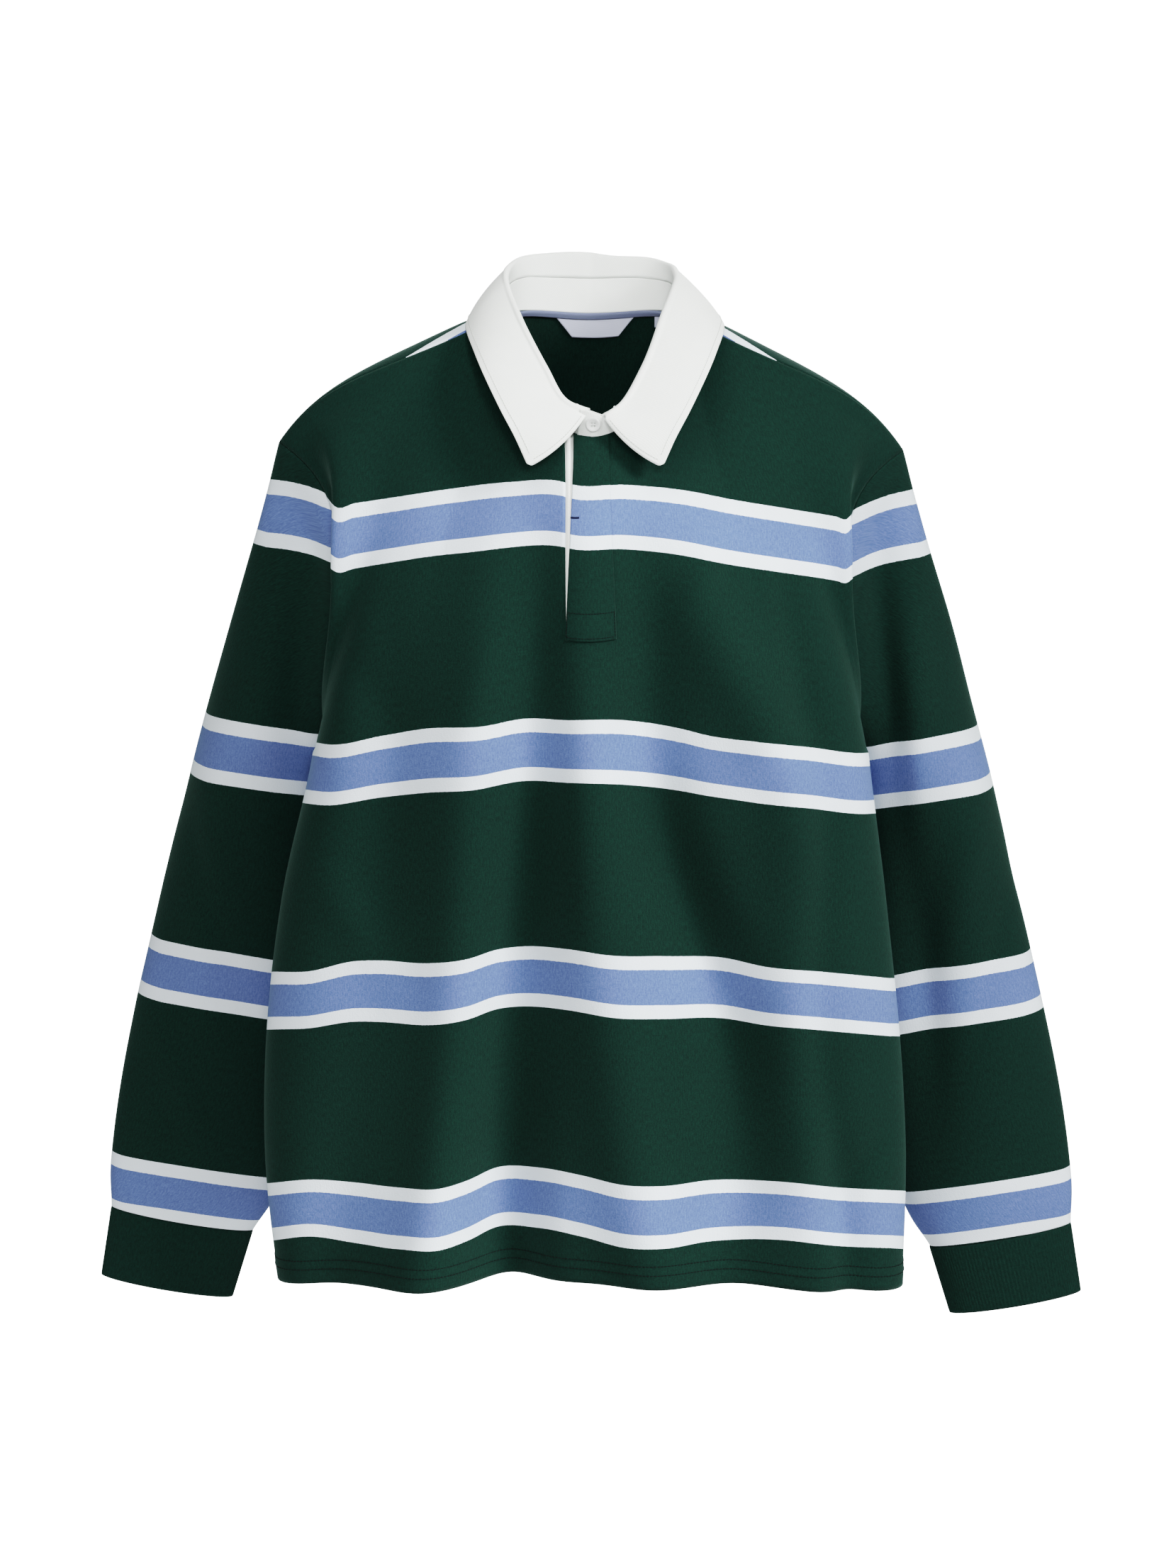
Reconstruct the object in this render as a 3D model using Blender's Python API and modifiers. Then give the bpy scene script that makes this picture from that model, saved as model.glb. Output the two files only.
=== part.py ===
"""Long-sleeved rugby polo shirt, filled out and upright, as separate cut pieces of cloth.

Metres, +Z up, the front faces -Y and +X is the right-hand side seen from the front.
The origin lies midway between the shoulders, 16 mm below the two neck points: the
wearer's shoulders carry the shirt there. Every cloth piece is an open grid of points
worked out from the sizes below, and a Solidify modifier gives it its wall.
"""
import bpy
import numpy as np

# ---------------------------------------------------------------- driving dimensions
WALL = 0.0015            # heavy cotton jersey
TWILL = 0.0012           # woven twill of the collar
TRIM = 0.0010            # tapes, labels and facings
SEAM = 0.0003            # gap between pieces at a seam

# What each piece gives up at a seam: more where two walls meet at an angle.
SIDE_TRIM = 0.0004
ARMHOLE_TRIM = 0.0008
NECK_TRIM = 0.0008

UNDERARM_Z = -0.300
HEM_SIDE_Z = -0.719      # hem at the side seams
HEM_RISE_FRONT = 0.018   # the hem climbs by this at the centre front
HEM_RISE_BACK = 0.010
SIDE_SEAM_ANGLE = 114.0  # degrees round the body from centre front

# Sections of the body from hem to chest; rows above the underarm only steer the slope.
BODY = {
    "z":      (-0.740, -0.610, -0.410, -0.300, -0.180),
    "left":   (0.2400, 0.2500, 0.2310, 0.2030, 0.1840),
    "right":  (0.2400, 0.2410, 0.2200, 0.2020, 0.1840),
    "front":  (0.0880, 0.0930, 0.1120, 0.1210, 0.1190),
    "back":   (0.0640, 0.0720, 0.1000, 0.1150, 0.1180),
    "widest": (-0.024, -0.030, -0.044, -0.052, -0.056),
}
FRONT_ROUND = 2.5        # superellipse exponent of the front half
BACK_ROUND = 2.1

# Folds of the body: where each is at the hem (x) and at its top, and how far it stands out.
FOLDS = (
    # panel, x_hem, x_top, z_top, half_width, depth
    ("front", -0.135, -0.110, -0.20, 0.036, 0.016),
    ("front", -0.068, -0.030, -0.20, 0.036, -0.030),
    ("front", 0.060, 0.075, -0.24, 0.048, 0.013),
    ("front", 0.160, 0.120, -0.22, 0.034, -0.013),
    ("front", -0.205, -0.150, -0.30, 0.026, -0.009),
    ("back", -0.120, -0.090, -0.20, 0.045, 0.014),
    ("back", -0.020, -0.030, -0.16, 0.040, -0.014),
    ("back", 0.090, 0.070, -0.18, 0.045, 0.013),
)

# Shoulders, neck and armholes, mirrored by `side`.
NECK_POINT = (0.076, -0.013, 0.0160)
SHOULDER_TIP = (0.2350, -0.006, -0.0800)
SHOULDER_BOW = 0.013     # the shoulder seam arches above its chord
NECK_FRONT = (-0.088, -0.0640)   # y and z of the neck seam at centre front
NECK_BACK = (0.052, 0.0195)
NECK_BACK_ARCH = 0.0045  # the back neck seam climbs beside the centre before it falls
UNDERARM = (0.203, 0.014, UNDERARM_Z)
ARMHOLE_DEPTH = 0.066    # half of the armhole's width, front to back
ARMHOLE_HOLLOW = 0.034   # how far the armhole's middle is scooped inward
FRONT_RIDGE = 0.013      # soft fold of the front that covers the armhole seam
RIDGE_OUT = 0.9          # part of that which goes outward
RIDGE_SHARE, RIDGE_WIDTH = 0.89, 0.065   # across the half panel
RIDGE_FOOT, RIDGE_HEAD = 0.12, 0.92      # shares of the way up from the underarm
NECK_SHARE = 0.46        # part of each half panel's top edge that is neckline
EDGE_BLEND = 5           # higher keeps the pull of an armhole nearer the edge
FRONT_ARRIVES = (0.0, 0.50, 0.75)     # direction in which the cloth meets the top edge
BACK_NECK_ARRIVES = (0.0, -0.30, 0.80)
BACK_SHOULDER_ARRIVES = (0.0, -0.80, -0.30)

# Columns of the half panels (0 centre, 1 side seam and armhole) and rows above the underarm.
PLACKET_SHARE = 0.067
SLIT_SHARE = 0.0875
FRONT_COLUMNS = (0.0, PLACKET_SHARE, 0.14, 0.25, 0.355, NECK_SHARE,
                 0.57, 0.68, 0.78, 0.87, 0.94, 1.0)
BACK_COLUMNS = (0.0, 0.115, 0.23, 0.345, NECK_SHARE, 0.57, 0.68, 0.78, 0.87, 0.94, 1.0)
UPPER_ROWS = (0.0, 0.13, 0.26, 0.36, 0.42, 0.55, 0.67, 0.78, 0.88, 0.95, 0.984, 1.0)
LOWER_ROWS = 11
PLACKET_BOTTOM_ROW = 3   # of UPPER_ROWS
SLIT_BOTTOM_ROW = 4
SLIT_TOP_WIDTH, SLIT_FOOT_WIDTH = 0.0075, 0.0010
UNDERLAP_PAST_SLIT = 0.012

# Sleeve sections below the armhole; x is mirrored for the left sleeve.
SLEEVE = {
    "x":     (0.2470, 0.2670, 0.2935, 0.3125, 0.3236),
    "y":     (0.0520, 0.0640, 0.0640, 0.0580, 0.0540),
    "z":     (-0.3240, -0.449, -0.585, -0.668, -0.704),
    "wide":  (0.0540, 0.0660, 0.0715, 0.0660, 0.0590),
    "deep":  (0.0590, 0.0480, 0.0340, 0.0250, 0.0180),
    "tilt":  (22.0, 13.0, 12.0, 11.0, 10.0),
}
SLEEVE_STEPS = (2, 3, 3, 3, 2, 1)   # rows of faces between one section and the next
CAP_SHARE = 0.3          # the sleeve's first section, on the way to the table's first
UNDERARM_PUSH = 0.020    # there the lower half of the sleeve still goes outward
LEFT_SLEEVE_LIFT = 0.010
CUFF_LENGTH = 0.060
CUFF_END = {"wide": 0.0505, "deep": 0.0150}

# Collar: fold line from the centre front round one side to the centre back.
COLLAR = {
    "share":  (0.0, 0.10, 0.22, 0.42, 0.64, 0.84, 1.0),
    "fold_x": (0.001, 0.017, 0.034, 0.054, 0.067, 0.052, 0.000),
    "fold_y": (-0.092, -0.087, -0.074, -0.044, 0.006, 0.050, 0.062),
    "fold_z": (-0.0455, -0.0370, -0.0140, 0.0220, 0.0500, 0.0620, 0.0640),
    "edge_x": (0.0460, 0.0580, 0.0700, 0.0870, 0.0940, 0.0740, 0.0000),
    "edge_y": (-0.106, -0.103, -0.093, -0.060, -0.004, 0.060, 0.083),
    "edge_z": (-0.0850, -0.0650, -0.0430, -0.0060, 0.0160, 0.0130, 0.0060),
    # the right half sits a little further out than the left
    "fold_shift": (0.013, 0.012, 0.009, 0.004, 0.005, 0.003, 0.000),
    "edge_shift": (0.006, 0.007, 0.008, 0.009, 0.009, 0.004, 0.000),
}
STAND_HEIGHT = 0.027
ROLL = 0.0032            # radius of the collar's turned edge
FALL_BOW = 0.004         # the fall stands off the shirt between its two edges
UNDER_END = 0.0032       # the stand's under end lies this far behind its over end

TAPE_WIDTH = 0.0050      # where the labels begin, down from the seam
# Labels below the tape: centre x, half width at the top and at the bottom, length.
LABELS = {
    "neck_label": (0.003, 0.0295, 0.0170, 0.0155),
    "size_label": (0.050, 0.0070, 0.0070, 0.0120),
}
TRIM_OFF = 0.0008        # tape and labels lie this far off the back's inner face
LABEL_HANG = 0.0008      # and the foot of a label this much further
LABEL_GAP = 0.0012       # between the tape and a label, in length down the back
LABEL_COLUMNS = (-1.0, -0.5, 0.0, 0.5, 1.0)
BUTTON_RADIUS, BUTTON_THICK = 0.0055, 0.0022
BUTTON_X, BUTTON_Z = 0.0012, -0.0545

COLOURS = {
    # slot: linear red, green, blue, then roughness
    "jersey": (0.010, 0.038, 0.031, 0.92),
    "rib": (0.010, 0.038, 0.031, 0.95),
    "twill": (0.78, 0.78, 0.75, 0.85),
    "tape": (0.12, 0.15, 0.27, 0.80),
    "label": (0.75, 0.78, 0.85, 0.60),
    "button": (0.72, 0.75, 0.74, 0.35),
}


# ---------------------------------------------------------------- curves
def through(at, knots, values):
    """Cubic through the rows of a table, with finite differences as its slopes."""
    knots = np.asarray(knots, float)
    values = np.asarray(values, float)
    at = np.asarray(at, float)
    slopes = np.gradient(values, knots, axis=0)
    i = np.clip(np.searchsorted(knots, at, side="right") - 1, 0, len(knots) - 2)
    step = knots[i + 1] - knots[i]
    f = (at - knots[i]) / step
    if values.ndim > 1:
        f = f[..., None]
        step = step[..., None]
    return ((1 + 2 * f) * (1 - f) ** 2 * values[i] + f * (1 - f) ** 2 * step * slopes[i]
            + f * f * (3 - 2 * f) * values[i + 1] - f * f * (1 - f) * step * slopes[i + 1])


def along(points, shares):
    """Points at equal shares of the length of a polyline."""
    steps = np.linalg.norm(np.diff(points, axis=0), axis=1)
    length = np.concatenate([[0.0], np.cumsum(steps)])
    at = np.asarray(shares) * length[-1]
    return np.stack([np.interp(at, length, points[:, k]) for k in range(points.shape[1])], 1)


def unit(v):
    return v / np.linalg.norm(v, axis=-1, keepdims=True)


def body_section(z, side, angles):
    """x and y of the body at height z, at angles from centre front towards `side`."""
    half = through(z, BODY["z"], BODY["right" if side > 0 else "left"])
    widest = through(z, BODY["z"], BODY["widest"])
    front = through(z, BODY["z"], BODY["front"])
    back = through(z, BODY["z"], BODY["back"])
    a = np.radians(angles)
    ahead = np.cos(a) >= 0
    power = np.where(ahead, 2.0 / FRONT_ROUND, 2.0 / BACK_ROUND)
    reach = np.where(ahead, -(front + widest), back - widest)
    x = half * np.abs(np.sin(a)) ** power
    y = widest + reach * np.abs(np.cos(a)) ** power
    return np.stack([side * x, y], 1)


def section_row(z, panel, side, shares):
    """The half of a body section that one panel covers, at shares of its length."""
    start = 0.0 if panel == "front" else 180.0
    angles = np.linspace(start, SIDE_SEAM_ANGLE, 120)
    return along(body_section(z, side, angles), shares)


def hem_height(x, panel):
    rise = HEM_RISE_FRONT if panel == "front" else HEM_RISE_BACK
    return HEM_SIDE_Z + rise * np.clip(1 - (x / 0.24) ** 2, 0, 1)


def shoulder_seam(shares, side):
    """From the neck point to the shoulder tip, arched between them."""
    shares = np.asarray(shares, float)
    a = np.array(NECK_POINT)
    b = np.array(SHOULDER_TIP)
    points = a + (b - a) * shares[:, None]
    points[:, 2] += SHOULDER_BOW * 4 * shares * (1 - shares) * (0.1 + 1.3 * shares)
    return points * (side, 1, 1)


def neck_edge(shares, panel, side):
    """From the centre of the neckline (0) to the neck point (1)."""
    shares = np.asarray(shares, float)
    x_end, y_end, z_end = NECK_POINT
    y_mid, z_mid = NECK_FRONT if panel == "front" else NECK_BACK
    turn = shares * np.pi / 2
    if panel == "front":
        x = x_end * (0.75 * shares + 0.25 * np.sin(turn))
        rise = 1 - np.cos(turn) ** 1.15
        arch = 0.0
    else:
        x = x_end * np.sin(turn)
        rise = 1 - np.cos(turn) ** 1.6
        arch = NECK_BACK_ARCH * np.sin(2 * turn) ** 2
    y = y_mid + (y_end - y_mid) * rise
    z = z_mid + (z_end - z_mid) * rise + arch
    return np.stack([side * x, y, z], 1)


def top_edge(shares, panel, side):
    shares = np.asarray(shares, float)
    neck = neck_edge(np.clip(shares / NECK_SHARE, 0, 1), panel, side)
    past = np.clip((shares - NECK_SHARE) / (1 - NECK_SHARE), 0, 1)
    seam = shoulder_seam(past, side)
    return np.where((shares < NECK_SHARE)[:, None], neck, seam)


def armhole(turns, side):
    """Closed loop: 0 at the shoulder tip, 90 at the front, 180 at the underarm."""
    a = np.radians(np.asarray(turns, float))
    tip = np.array(SHOULDER_TIP)
    low = np.array(UNDERARM)
    share = (1 + np.cos(a)) / 2
    points = low + (tip - low) * share[:, None]
    scoop = np.where(np.cos(a) > 0, 1 - np.abs(np.cos(a)) ** 3, np.abs(np.sin(a)) ** 3)
    points[:, 0] -= ARMHOLE_HOLLOW * scoop
    points[:, 1] -= ARMHOLE_DEPTH * np.sin(a)
    return points * (side, 1, 1)


def armhole_turns(panel):
    up = 180.0 * (1 - np.array(UPPER_ROWS))
    return up if panel == "front" else 360.0 - up


# ---------------------------------------------------------------- panel surfaces
def half_panel(panel, side, columns):
    """Rows from hem to top, columns from the centre to the side seam and the armhole."""
    columns = np.asarray(columns, float)
    lower = []
    side_pull = np.array(UNDERARM[:2]) * (side, 1) - section_row(UNDERARM_Z, panel, side, [1.0])[0]
    for step in range(LOWER_ROWS):
        pull = columns[:, None] ** EDGE_BLEND * side_pull * (step / LOWER_ROWS) ** 4
        base = section_row(HEM_SIDE_Z, panel, side, columns)
        z = hem_height(base[:, 0], panel)
        z = z + (UNDERARM_Z - z) * step / LOWER_ROWS
        xy = [section_row(level, panel, side, columns)[k] for k, level in enumerate(z)]
        lower.append(np.column_stack([np.array(xy) + pull, z]))

    upper = []
    nearby = np.linspace(0.6, 1.0, 41)
    for share, hole in zip(UPPER_ROWS, armhole(armhole_turns(panel), side)):
        apart = np.linalg.norm(upper_row(panel, side, share, nearby) - hole, axis=1)
        cut = nearby[np.argmin(apart)]
        row = upper_row(panel, side, share, columns * (1 - (1 - cut) * columns ** 2))
        upper.append(row + columns[:, None] ** EDGE_BLEND * (hole - row[-1]))
    upper = np.array(upper)
    if panel == "front":
        upper = upper + ridge(columns, side)
    return np.concatenate([np.array(lower), upper])


def upper_row(panel, side, t, columns):
    """Row at share t of the way from the underarm's section up to the neck and shoulder."""
    columns = np.asarray(columns, float)
    chest = section_row(UNDERARM_Z, panel, side, columns)
    above = section_row(UNDERARM_Z + 0.01, panel, side, columns)
    start = np.column_stack([chest, np.full(len(columns), UNDERARM_Z)])
    top = top_edge(columns, panel, side)
    leave = np.column_stack([(above - chest) / 0.01, np.ones(len(columns))])
    reach = np.linalg.norm(top - start, axis=1)[:, None]
    if panel == "front":
        arrive = np.array(FRONT_ARRIVES)
    else:
        over = np.clip(columns / NECK_SHARE, 0, 1)[:, None] ** 1.5
        arrive = (1 - over) * np.array(BACK_NECK_ARRIVES) + over * np.array(BACK_SHOULDER_ARRIVES)
    return ((1 + 2 * t) * (1 - t) ** 2 * start + t * (1 - t) ** 2 * reach * leave
            + t * t * (3 - 2 * t) * top - t * t * (1 - t) * reach * arrive)


def ridge(columns, side):
    """Soft fold near the armhole of the front: stands forward and outward."""
    across = np.exp(-((columns - RIDGE_SHARE) / RIDGE_WIDTH) ** 2)
    across[-1] = 0.0
    rows = np.array(UPPER_ROWS)
    rise = np.sin(np.pi * np.clip((rows - RIDGE_FOOT) / (RIDGE_HEAD - RIDGE_FOOT), 0, 1))
    rise[-1] = 0.0
    lift = FRONT_RIDGE * rise[:, None] * across[None, :]
    return np.stack([side * RIDGE_OUT * lift, -lift, lift * 0], 2)


def full_panel(panel, columns):
    """Both halves of a panel as one grid, from left to right."""
    left = half_panel(panel, -1, columns)
    right = half_panel(panel, 1, columns)
    grid = np.concatenate([left[:, :0:-1], right], axis=1)
    return add_folds(grid, panel)


def normals(grid):
    """Outward unit normals of a grid whose columns run left to right on the front."""
    across = np.gradient(grid, axis=1)
    up = np.gradient(grid, axis=0)
    return unit(np.cross(across, up))


def add_folds(grid, panel):
    """Each fold is a soft bump across, growing from its top down to the hem."""
    out = np.zeros(grid.shape[:2])
    for name, x_hem, x_top, z_top, half_width, depth in FOLDS:
        if name != panel:
            continue
        down = np.clip((z_top - grid[..., 2]) / (z_top - HEM_SIDE_Z), 0, 1)
        middle = x_top + (x_hem - x_top) * down
        across = np.exp(-((grid[..., 0] - middle) / half_width) ** 2)
        out += depth * across * down ** 1.3
    facing = normals(grid) * (1 if panel == "front" else -1)
    facing[..., 2] = 0
    out[:, 0] = 0
    out[:, -1] = 0
    return grid + out[..., None] * facing


# ---------------------------------------------------------------- making objects
def cloth_material(slot):
    material = bpy.data.materials.new(slot)
    material.use_nodes = True
    red, green, blue, rough = COLOURS[slot]
    shader = material.node_tree.nodes["Principled BSDF"]
    shader.inputs["Base Color"].default_value = (red, green, blue, 1)
    shader.inputs["Roughness"].default_value = rough
    return material


def grid_faces(rows, columns, closed, skip=()):
    """Quads whose diagonals run as a mirror image in the two halves of an open grid."""
    faces = []
    middle = 0 if closed else columns // 2
    last = columns if closed else columns - 1
    for i in range(rows - 1):
        for j in range(last):
            if (i, j) in skip:
                continue
            k = (j + 1) % columns
            face = (i * columns + j, i * columns + k,
                    (i + 1) * columns + k, (i + 1) * columns + j)
            faces.append(face[1:] + face[:1] if j < middle else face)
    return faces


def cloth(name, slot, grid, wall, closed=False, flip=False, skip=(), outward=False):
    """An open grid as a mesh, with its wall added by Solidify."""
    rows, columns = grid.shape[:2]
    faces = grid_faces(rows, columns, closed, skip)
    if flip:
        faces = [face[:1] + face[:0:-1] for face in faces]
    mesh = bpy.data.meshes.new(name)
    mesh.from_pydata(grid.reshape(-1, 3).tolist(), [], faces)
    mesh.materials.append(cloth_material(slot))
    mesh.shade_smooth()
    piece = bpy.data.objects.new(name, mesh)
    solid = piece.modifiers.new("Wall", "SOLIDIFY")
    solid.thickness = wall
    solid.offset = 1.0 if outward else -1.0
    parts.objects.link(piece)
    return piece


def pull_in(grid, edge, distance):
    """Move one edge of a grid back along its surface, which leaves the seam's gap."""
    edges = {"left": (np.s_[:, 0], np.s_[:, 1]), "right": (np.s_[:, -1], np.s_[:, -2]),
             "bottom": (np.s_[0], np.s_[1]), "top": (np.s_[-1], np.s_[-2])}
    outer, inner = edges[edge]
    grid[outer] += unit(grid[inner] - grid[outer]) * np.asarray(distance)[..., None]


def side_gaps():
    """Trim of a panel's side: half a seam, and more from the underarm up."""
    gaps = np.full(LOWER_ROWS + len(UPPER_ROWS), SIDE_TRIM)
    gaps[LOWER_ROWS:] = ARMHOLE_TRIM
    return gaps


def top_gaps(columns):
    return np.where(np.abs(columns) < NECK_SHARE - 0.001, NECK_TRIM, ARMHOLE_TRIM)


# ---------------------------------------------------------------- front and back
def front_grid():
    """The front with the column beside its slit added, the slit open above its foot."""
    grid = full_panel("front", FRONT_COLUMNS)
    centre = len(FRONT_COLUMNS) - 1
    slit_right = centre - 1
    outer = grid[:, slit_right - 1]
    inner = grid[:, slit_right]
    towards = unit(outer - inner)
    rows = np.arange(grid.shape[0]) - (LOWER_ROWS + SLIT_BOTTOM_ROW)
    open_share = np.clip(rows / (len(UPPER_ROWS) - 1 - SLIT_BOTTOM_ROW), 0, 1)
    width = SLIT_FOOT_WIDTH + (SLIT_TOP_WIDTH - SLIT_FOOT_WIDTH) * open_share
    slit_left = inner + towards * width[:, None]
    grid = np.insert(grid, slit_right, slit_left, axis=1)
    columns = np.concatenate([-np.array(FRONT_COLUMNS)[:0:-1], FRONT_COLUMNS])
    columns = np.insert(columns, slit_right, -SLIT_SHARE)
    return grid, columns, slit_right


def make_front():
    grid, columns, slit = front_grid()
    shape = grid.copy()
    gaps = side_gaps()
    pull_in(grid, "left", gaps)
    pull_in(grid, "right", gaps)
    pull_in(grid, "top", top_gaps(columns))
    first = LOWER_ROWS + SLIT_BOTTOM_ROW
    skip = {(i, slit) for i in range(first, grid.shape[0] - 1)}
    cloth("front", "jersey", grid, WALL, skip=skip)
    return shape, slit


def make_back():
    grid = full_panel("back", BACK_COLUMNS)
    shape = grid.copy()
    columns = np.concatenate([-np.array(BACK_COLUMNS)[:0:-1], BACK_COLUMNS])
    gaps = side_gaps()
    pull_in(grid, "left", gaps)
    pull_in(grid, "right", gaps)
    pull_in(grid, "top", top_gaps(columns))
    cloth("back", "jersey", grid, WALL, flip=True)
    return shape


def make_placket(shape, slit):
    """The overlap lies on the right front, from the neck to below the slit's foot."""
    first = LOWER_ROWS + PLACKET_BOTTOM_ROW
    out = normals(shape)
    strip = (shape + out * SEAM)[first:, slit + 1:slit + 4].copy()
    pull_in(strip, "top", np.full(strip.shape[1], NECK_TRIM + 2 * SEAM))
    cloth("placket", "jersey", strip, TRIM, outward=True)

    under = (shape - out * (WALL + 2 * SEAM))[first:, slit - 1:slit + 3].copy()
    wide = unit(under[:, 0] - under[:, 1])
    under[:, 0] = under[:, 1] + wide * UNDERLAP_PAST_SLIT
    pull_in(under, "top", np.full(under.shape[1], NECK_TRIM))
    cloth("placket_underlap", "twill", under, TRIM)


# ---------------------------------------------------------------- sleeves and cuffs
def sleeve_ring(turns, x, y, z, wide, deep, tilt):
    a = np.radians(turns)
    lean = np.radians(tilt)
    across = np.array([np.cos(lean), 0.0, np.sin(lean)])
    front = np.array([0.0, -1.0, 0.0])
    return (np.array([x, y, z]) + wide * np.cos(a)[:, None] * across
            + deep * np.sin(a)[:, None] * front)


def make_sleeve(side):
    turns = np.concatenate([armhole_turns("front")[::-1], armhole_turns("back")[1:-1]])
    hole = armhole(turns, 1)
    sections = [hole]
    for values in zip(*(SLEEVE[key] for key in ("x", "y", "z", "wide", "deep", "tilt"))):
        sections.append(sleeve_ring(turns, *values))
    under = (1 - np.cos(np.radians(turns))) / 2
    cap = hole + (sections[1] - hole) * CAP_SHARE
    cap[:, 0] += UNDERARM_PUSH * under
    sections.insert(1, cap)
    knots = np.arange(len(sections), dtype=float)
    at = [k + s / n for k, n in enumerate(SLEEVE_STEPS) for s in range(n)]
    at.append(float(len(SLEEVE_STEPS)))
    tube = through(np.array(at), knots, np.array(sections).reshape(len(knots), -1))
    tube = tube.reshape(len(at), len(turns), 3)
    lift = 0.0 if side > 0 else LEFT_SLEEVE_LIFT
    drop = np.clip((np.array(at) - 1) / 2, 0, 1)
    tube[..., 2] += lift * drop[:, None]
    end = tube[-1].copy()
    pull_in(tube, "bottom", np.full(len(turns), ARMHOLE_TRIM))
    pull_in(tube, "top", np.full(len(turns), 2 * SEAM))
    name = "right" if side > 0 else "left"
    cloth("sleeve_" + name, "jersey", tube * (side, 1, 1), WALL, closed=True, flip=side < 0)

    lean = np.radians(SLEEVE["tilt"][-1])
    down = np.array([np.sin(lean + 0.06), 0.0, -np.cos(lean + 0.06)])
    centre = np.array([SLEEVE[axis][-1] for axis in "xyz"]) + down * CUFF_LENGTH
    centre[2] += lift
    mouth = sleeve_ring(turns, centre[0], centre[1], centre[2],
                        CUFF_END["wide"], CUFF_END["deep"], SLEEVE["tilt"][-1])
    cuff = np.stack([end + (mouth - end) * share for share in (0.005, 0.35, 0.7, 1.0)])
    cloth("cuff_" + name, "rib", cuff * (side, 1, 1), WALL, closed=True, flip=side < 0)


# ---------------------------------------------------------------- collar
def collar_shares():
    """0 at the centre front, 1 at the centre back: the neckline's own columns."""
    front = np.array(FRONT_COLUMNS)
    front = front[front <= NECK_SHARE] / NECK_SHARE
    back = np.array(BACK_COLUMNS)
    back = back[back < NECK_SHARE][::-1] / NECK_SHARE
    return front, back


def neck_loop(side):
    """Neckline from the centre front round to the centre back, in the panels' columns."""
    front, back = collar_shares()
    return np.concatenate([neck_edge(front, "front", side), neck_edge(back, "back", side)])


def collar_curve(kind, side, shares):
    table = np.array([COLLAR[kind + "_" + axis] for axis in "xyz"]).T
    if side > 0:
        table[:, 0] += COLLAR[kind + "_shift"]
    return through(shares, COLLAR["share"], table) * (side, 1, 1)


def collar_half(side):
    """Neck seam, stand top, fold and outer edge of one half, front to back."""
    neck = neck_loop(side)
    steps = np.linalg.norm(np.diff(neck, axis=0), axis=1)
    shares = np.concatenate([[0.0], np.cumsum(steps)]) / steps.sum()
    fold = collar_curve("fold", side, shares)
    edge = collar_curve("edge", side, shares)
    height = np.linalg.norm(fold - neck, axis=1)[:, None]
    stand = neck + (fold - neck) * np.minimum(STAND_HEIGHT / height, 0.62)
    return neck, stand, fold, edge


def make_collar():
    halves = [collar_half(-1), collar_half(1)]
    neck, stand, fold, edge = (np.concatenate([left, right[-2::-1]])
                               for left, right in zip(*halves))
    behind = UNDER_END * np.array([1.0, 0.6, 0.2])
    stand[:3, 1] += behind
    fold[:3, 1] += behind
    band = np.array([neck + (stand - neck) * share for share in (0.03, 0.5, 0.975)])
    under = band[:, -2:-1] + (0.0, UNDER_END, 0.0)
    over = band[:, 1:2].copy()
    over[..., 1] -= UNDER_END * np.array([0.0, 0.5, 1.0])[:, None]
    band[0, :3, 1] += behind
    band = np.concatenate([under, band, over], axis=1)
    cloth("collar_stand", "twill", band, TWILL)

    away = unit(edge - fold)
    up = unit(fold - stand)
    out = unit(np.cross(up, np.gradient(fold, axis=0)))
    rows = [stand + (fold - stand) * 0.02]
    rows.append(stand + (fold - stand) * 0.55)
    for turn in (-90, -30, 30, 90):
        a = np.radians(turn)
        rows.append(fold - up * ROLL + out * ROLL * (1 + np.sin(a)) + up * ROLL * np.cos(a))
    start = rows[-1]
    for share in (0.25, 0.5, 0.75, 1.0):
        bow = FALL_BOW * 4 * share * (1 - share)
        rows.append(start + (edge - start) * share + out * bow)
    cloth("collar_fall", "twill", np.array(rows), TWILL)


# ---------------------------------------------------------------- trims
def down_the_back(inner, down):
    """The row of the back's inner face that lies a length `down` below the neck seam."""
    steps = np.linalg.norm(np.diff(inner[::-1], axis=0), axis=2)
    length = np.concatenate([np.zeros((1, steps.shape[1])), np.cumsum(steps, axis=0)])
    return np.array([[np.interp(down, length[:, j], inner[::-1, j, k]) for k in range(3)]
                     for j in range(inner.shape[1])])


def make_neck_trims(shape):
    """Tape and bare labels hang inside the back neck, laid on the back panel."""
    facing = normals(shape)
    inner = shape + facing * (WALL + TRIM_OFF)
    neck = [j for j, x in enumerate(inner[-1, :, 0]) if abs(x) < NECK_POINT[0] - 0.002]
    tape = inner[-2:, neck].copy()
    pull_in(tape, "top", np.full(len(neck), NECK_TRIM + SEAM))
    cloth("neck_tape", "tape", tape, TRIM, outward=True)
    for name, (middle, top, bottom, length) in LABELS.items():
        rows = []
        for share in (1.0, 0.5, 0.0):
            half = top + (bottom - top) * share
            hanging = inner + facing * LABEL_HANG * share
            line = down_the_back(hanging, TAPE_WIDTH + LABEL_GAP + length * share)
            xs = middle + half * np.array(LABEL_COLUMNS)
            rows.append(np.stack([np.interp(xs, line[:, 0], line[:, k]) for k in range(3)], 1))
        cloth(name, "label", np.array(rows), TRIM, outward=True)


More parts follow.
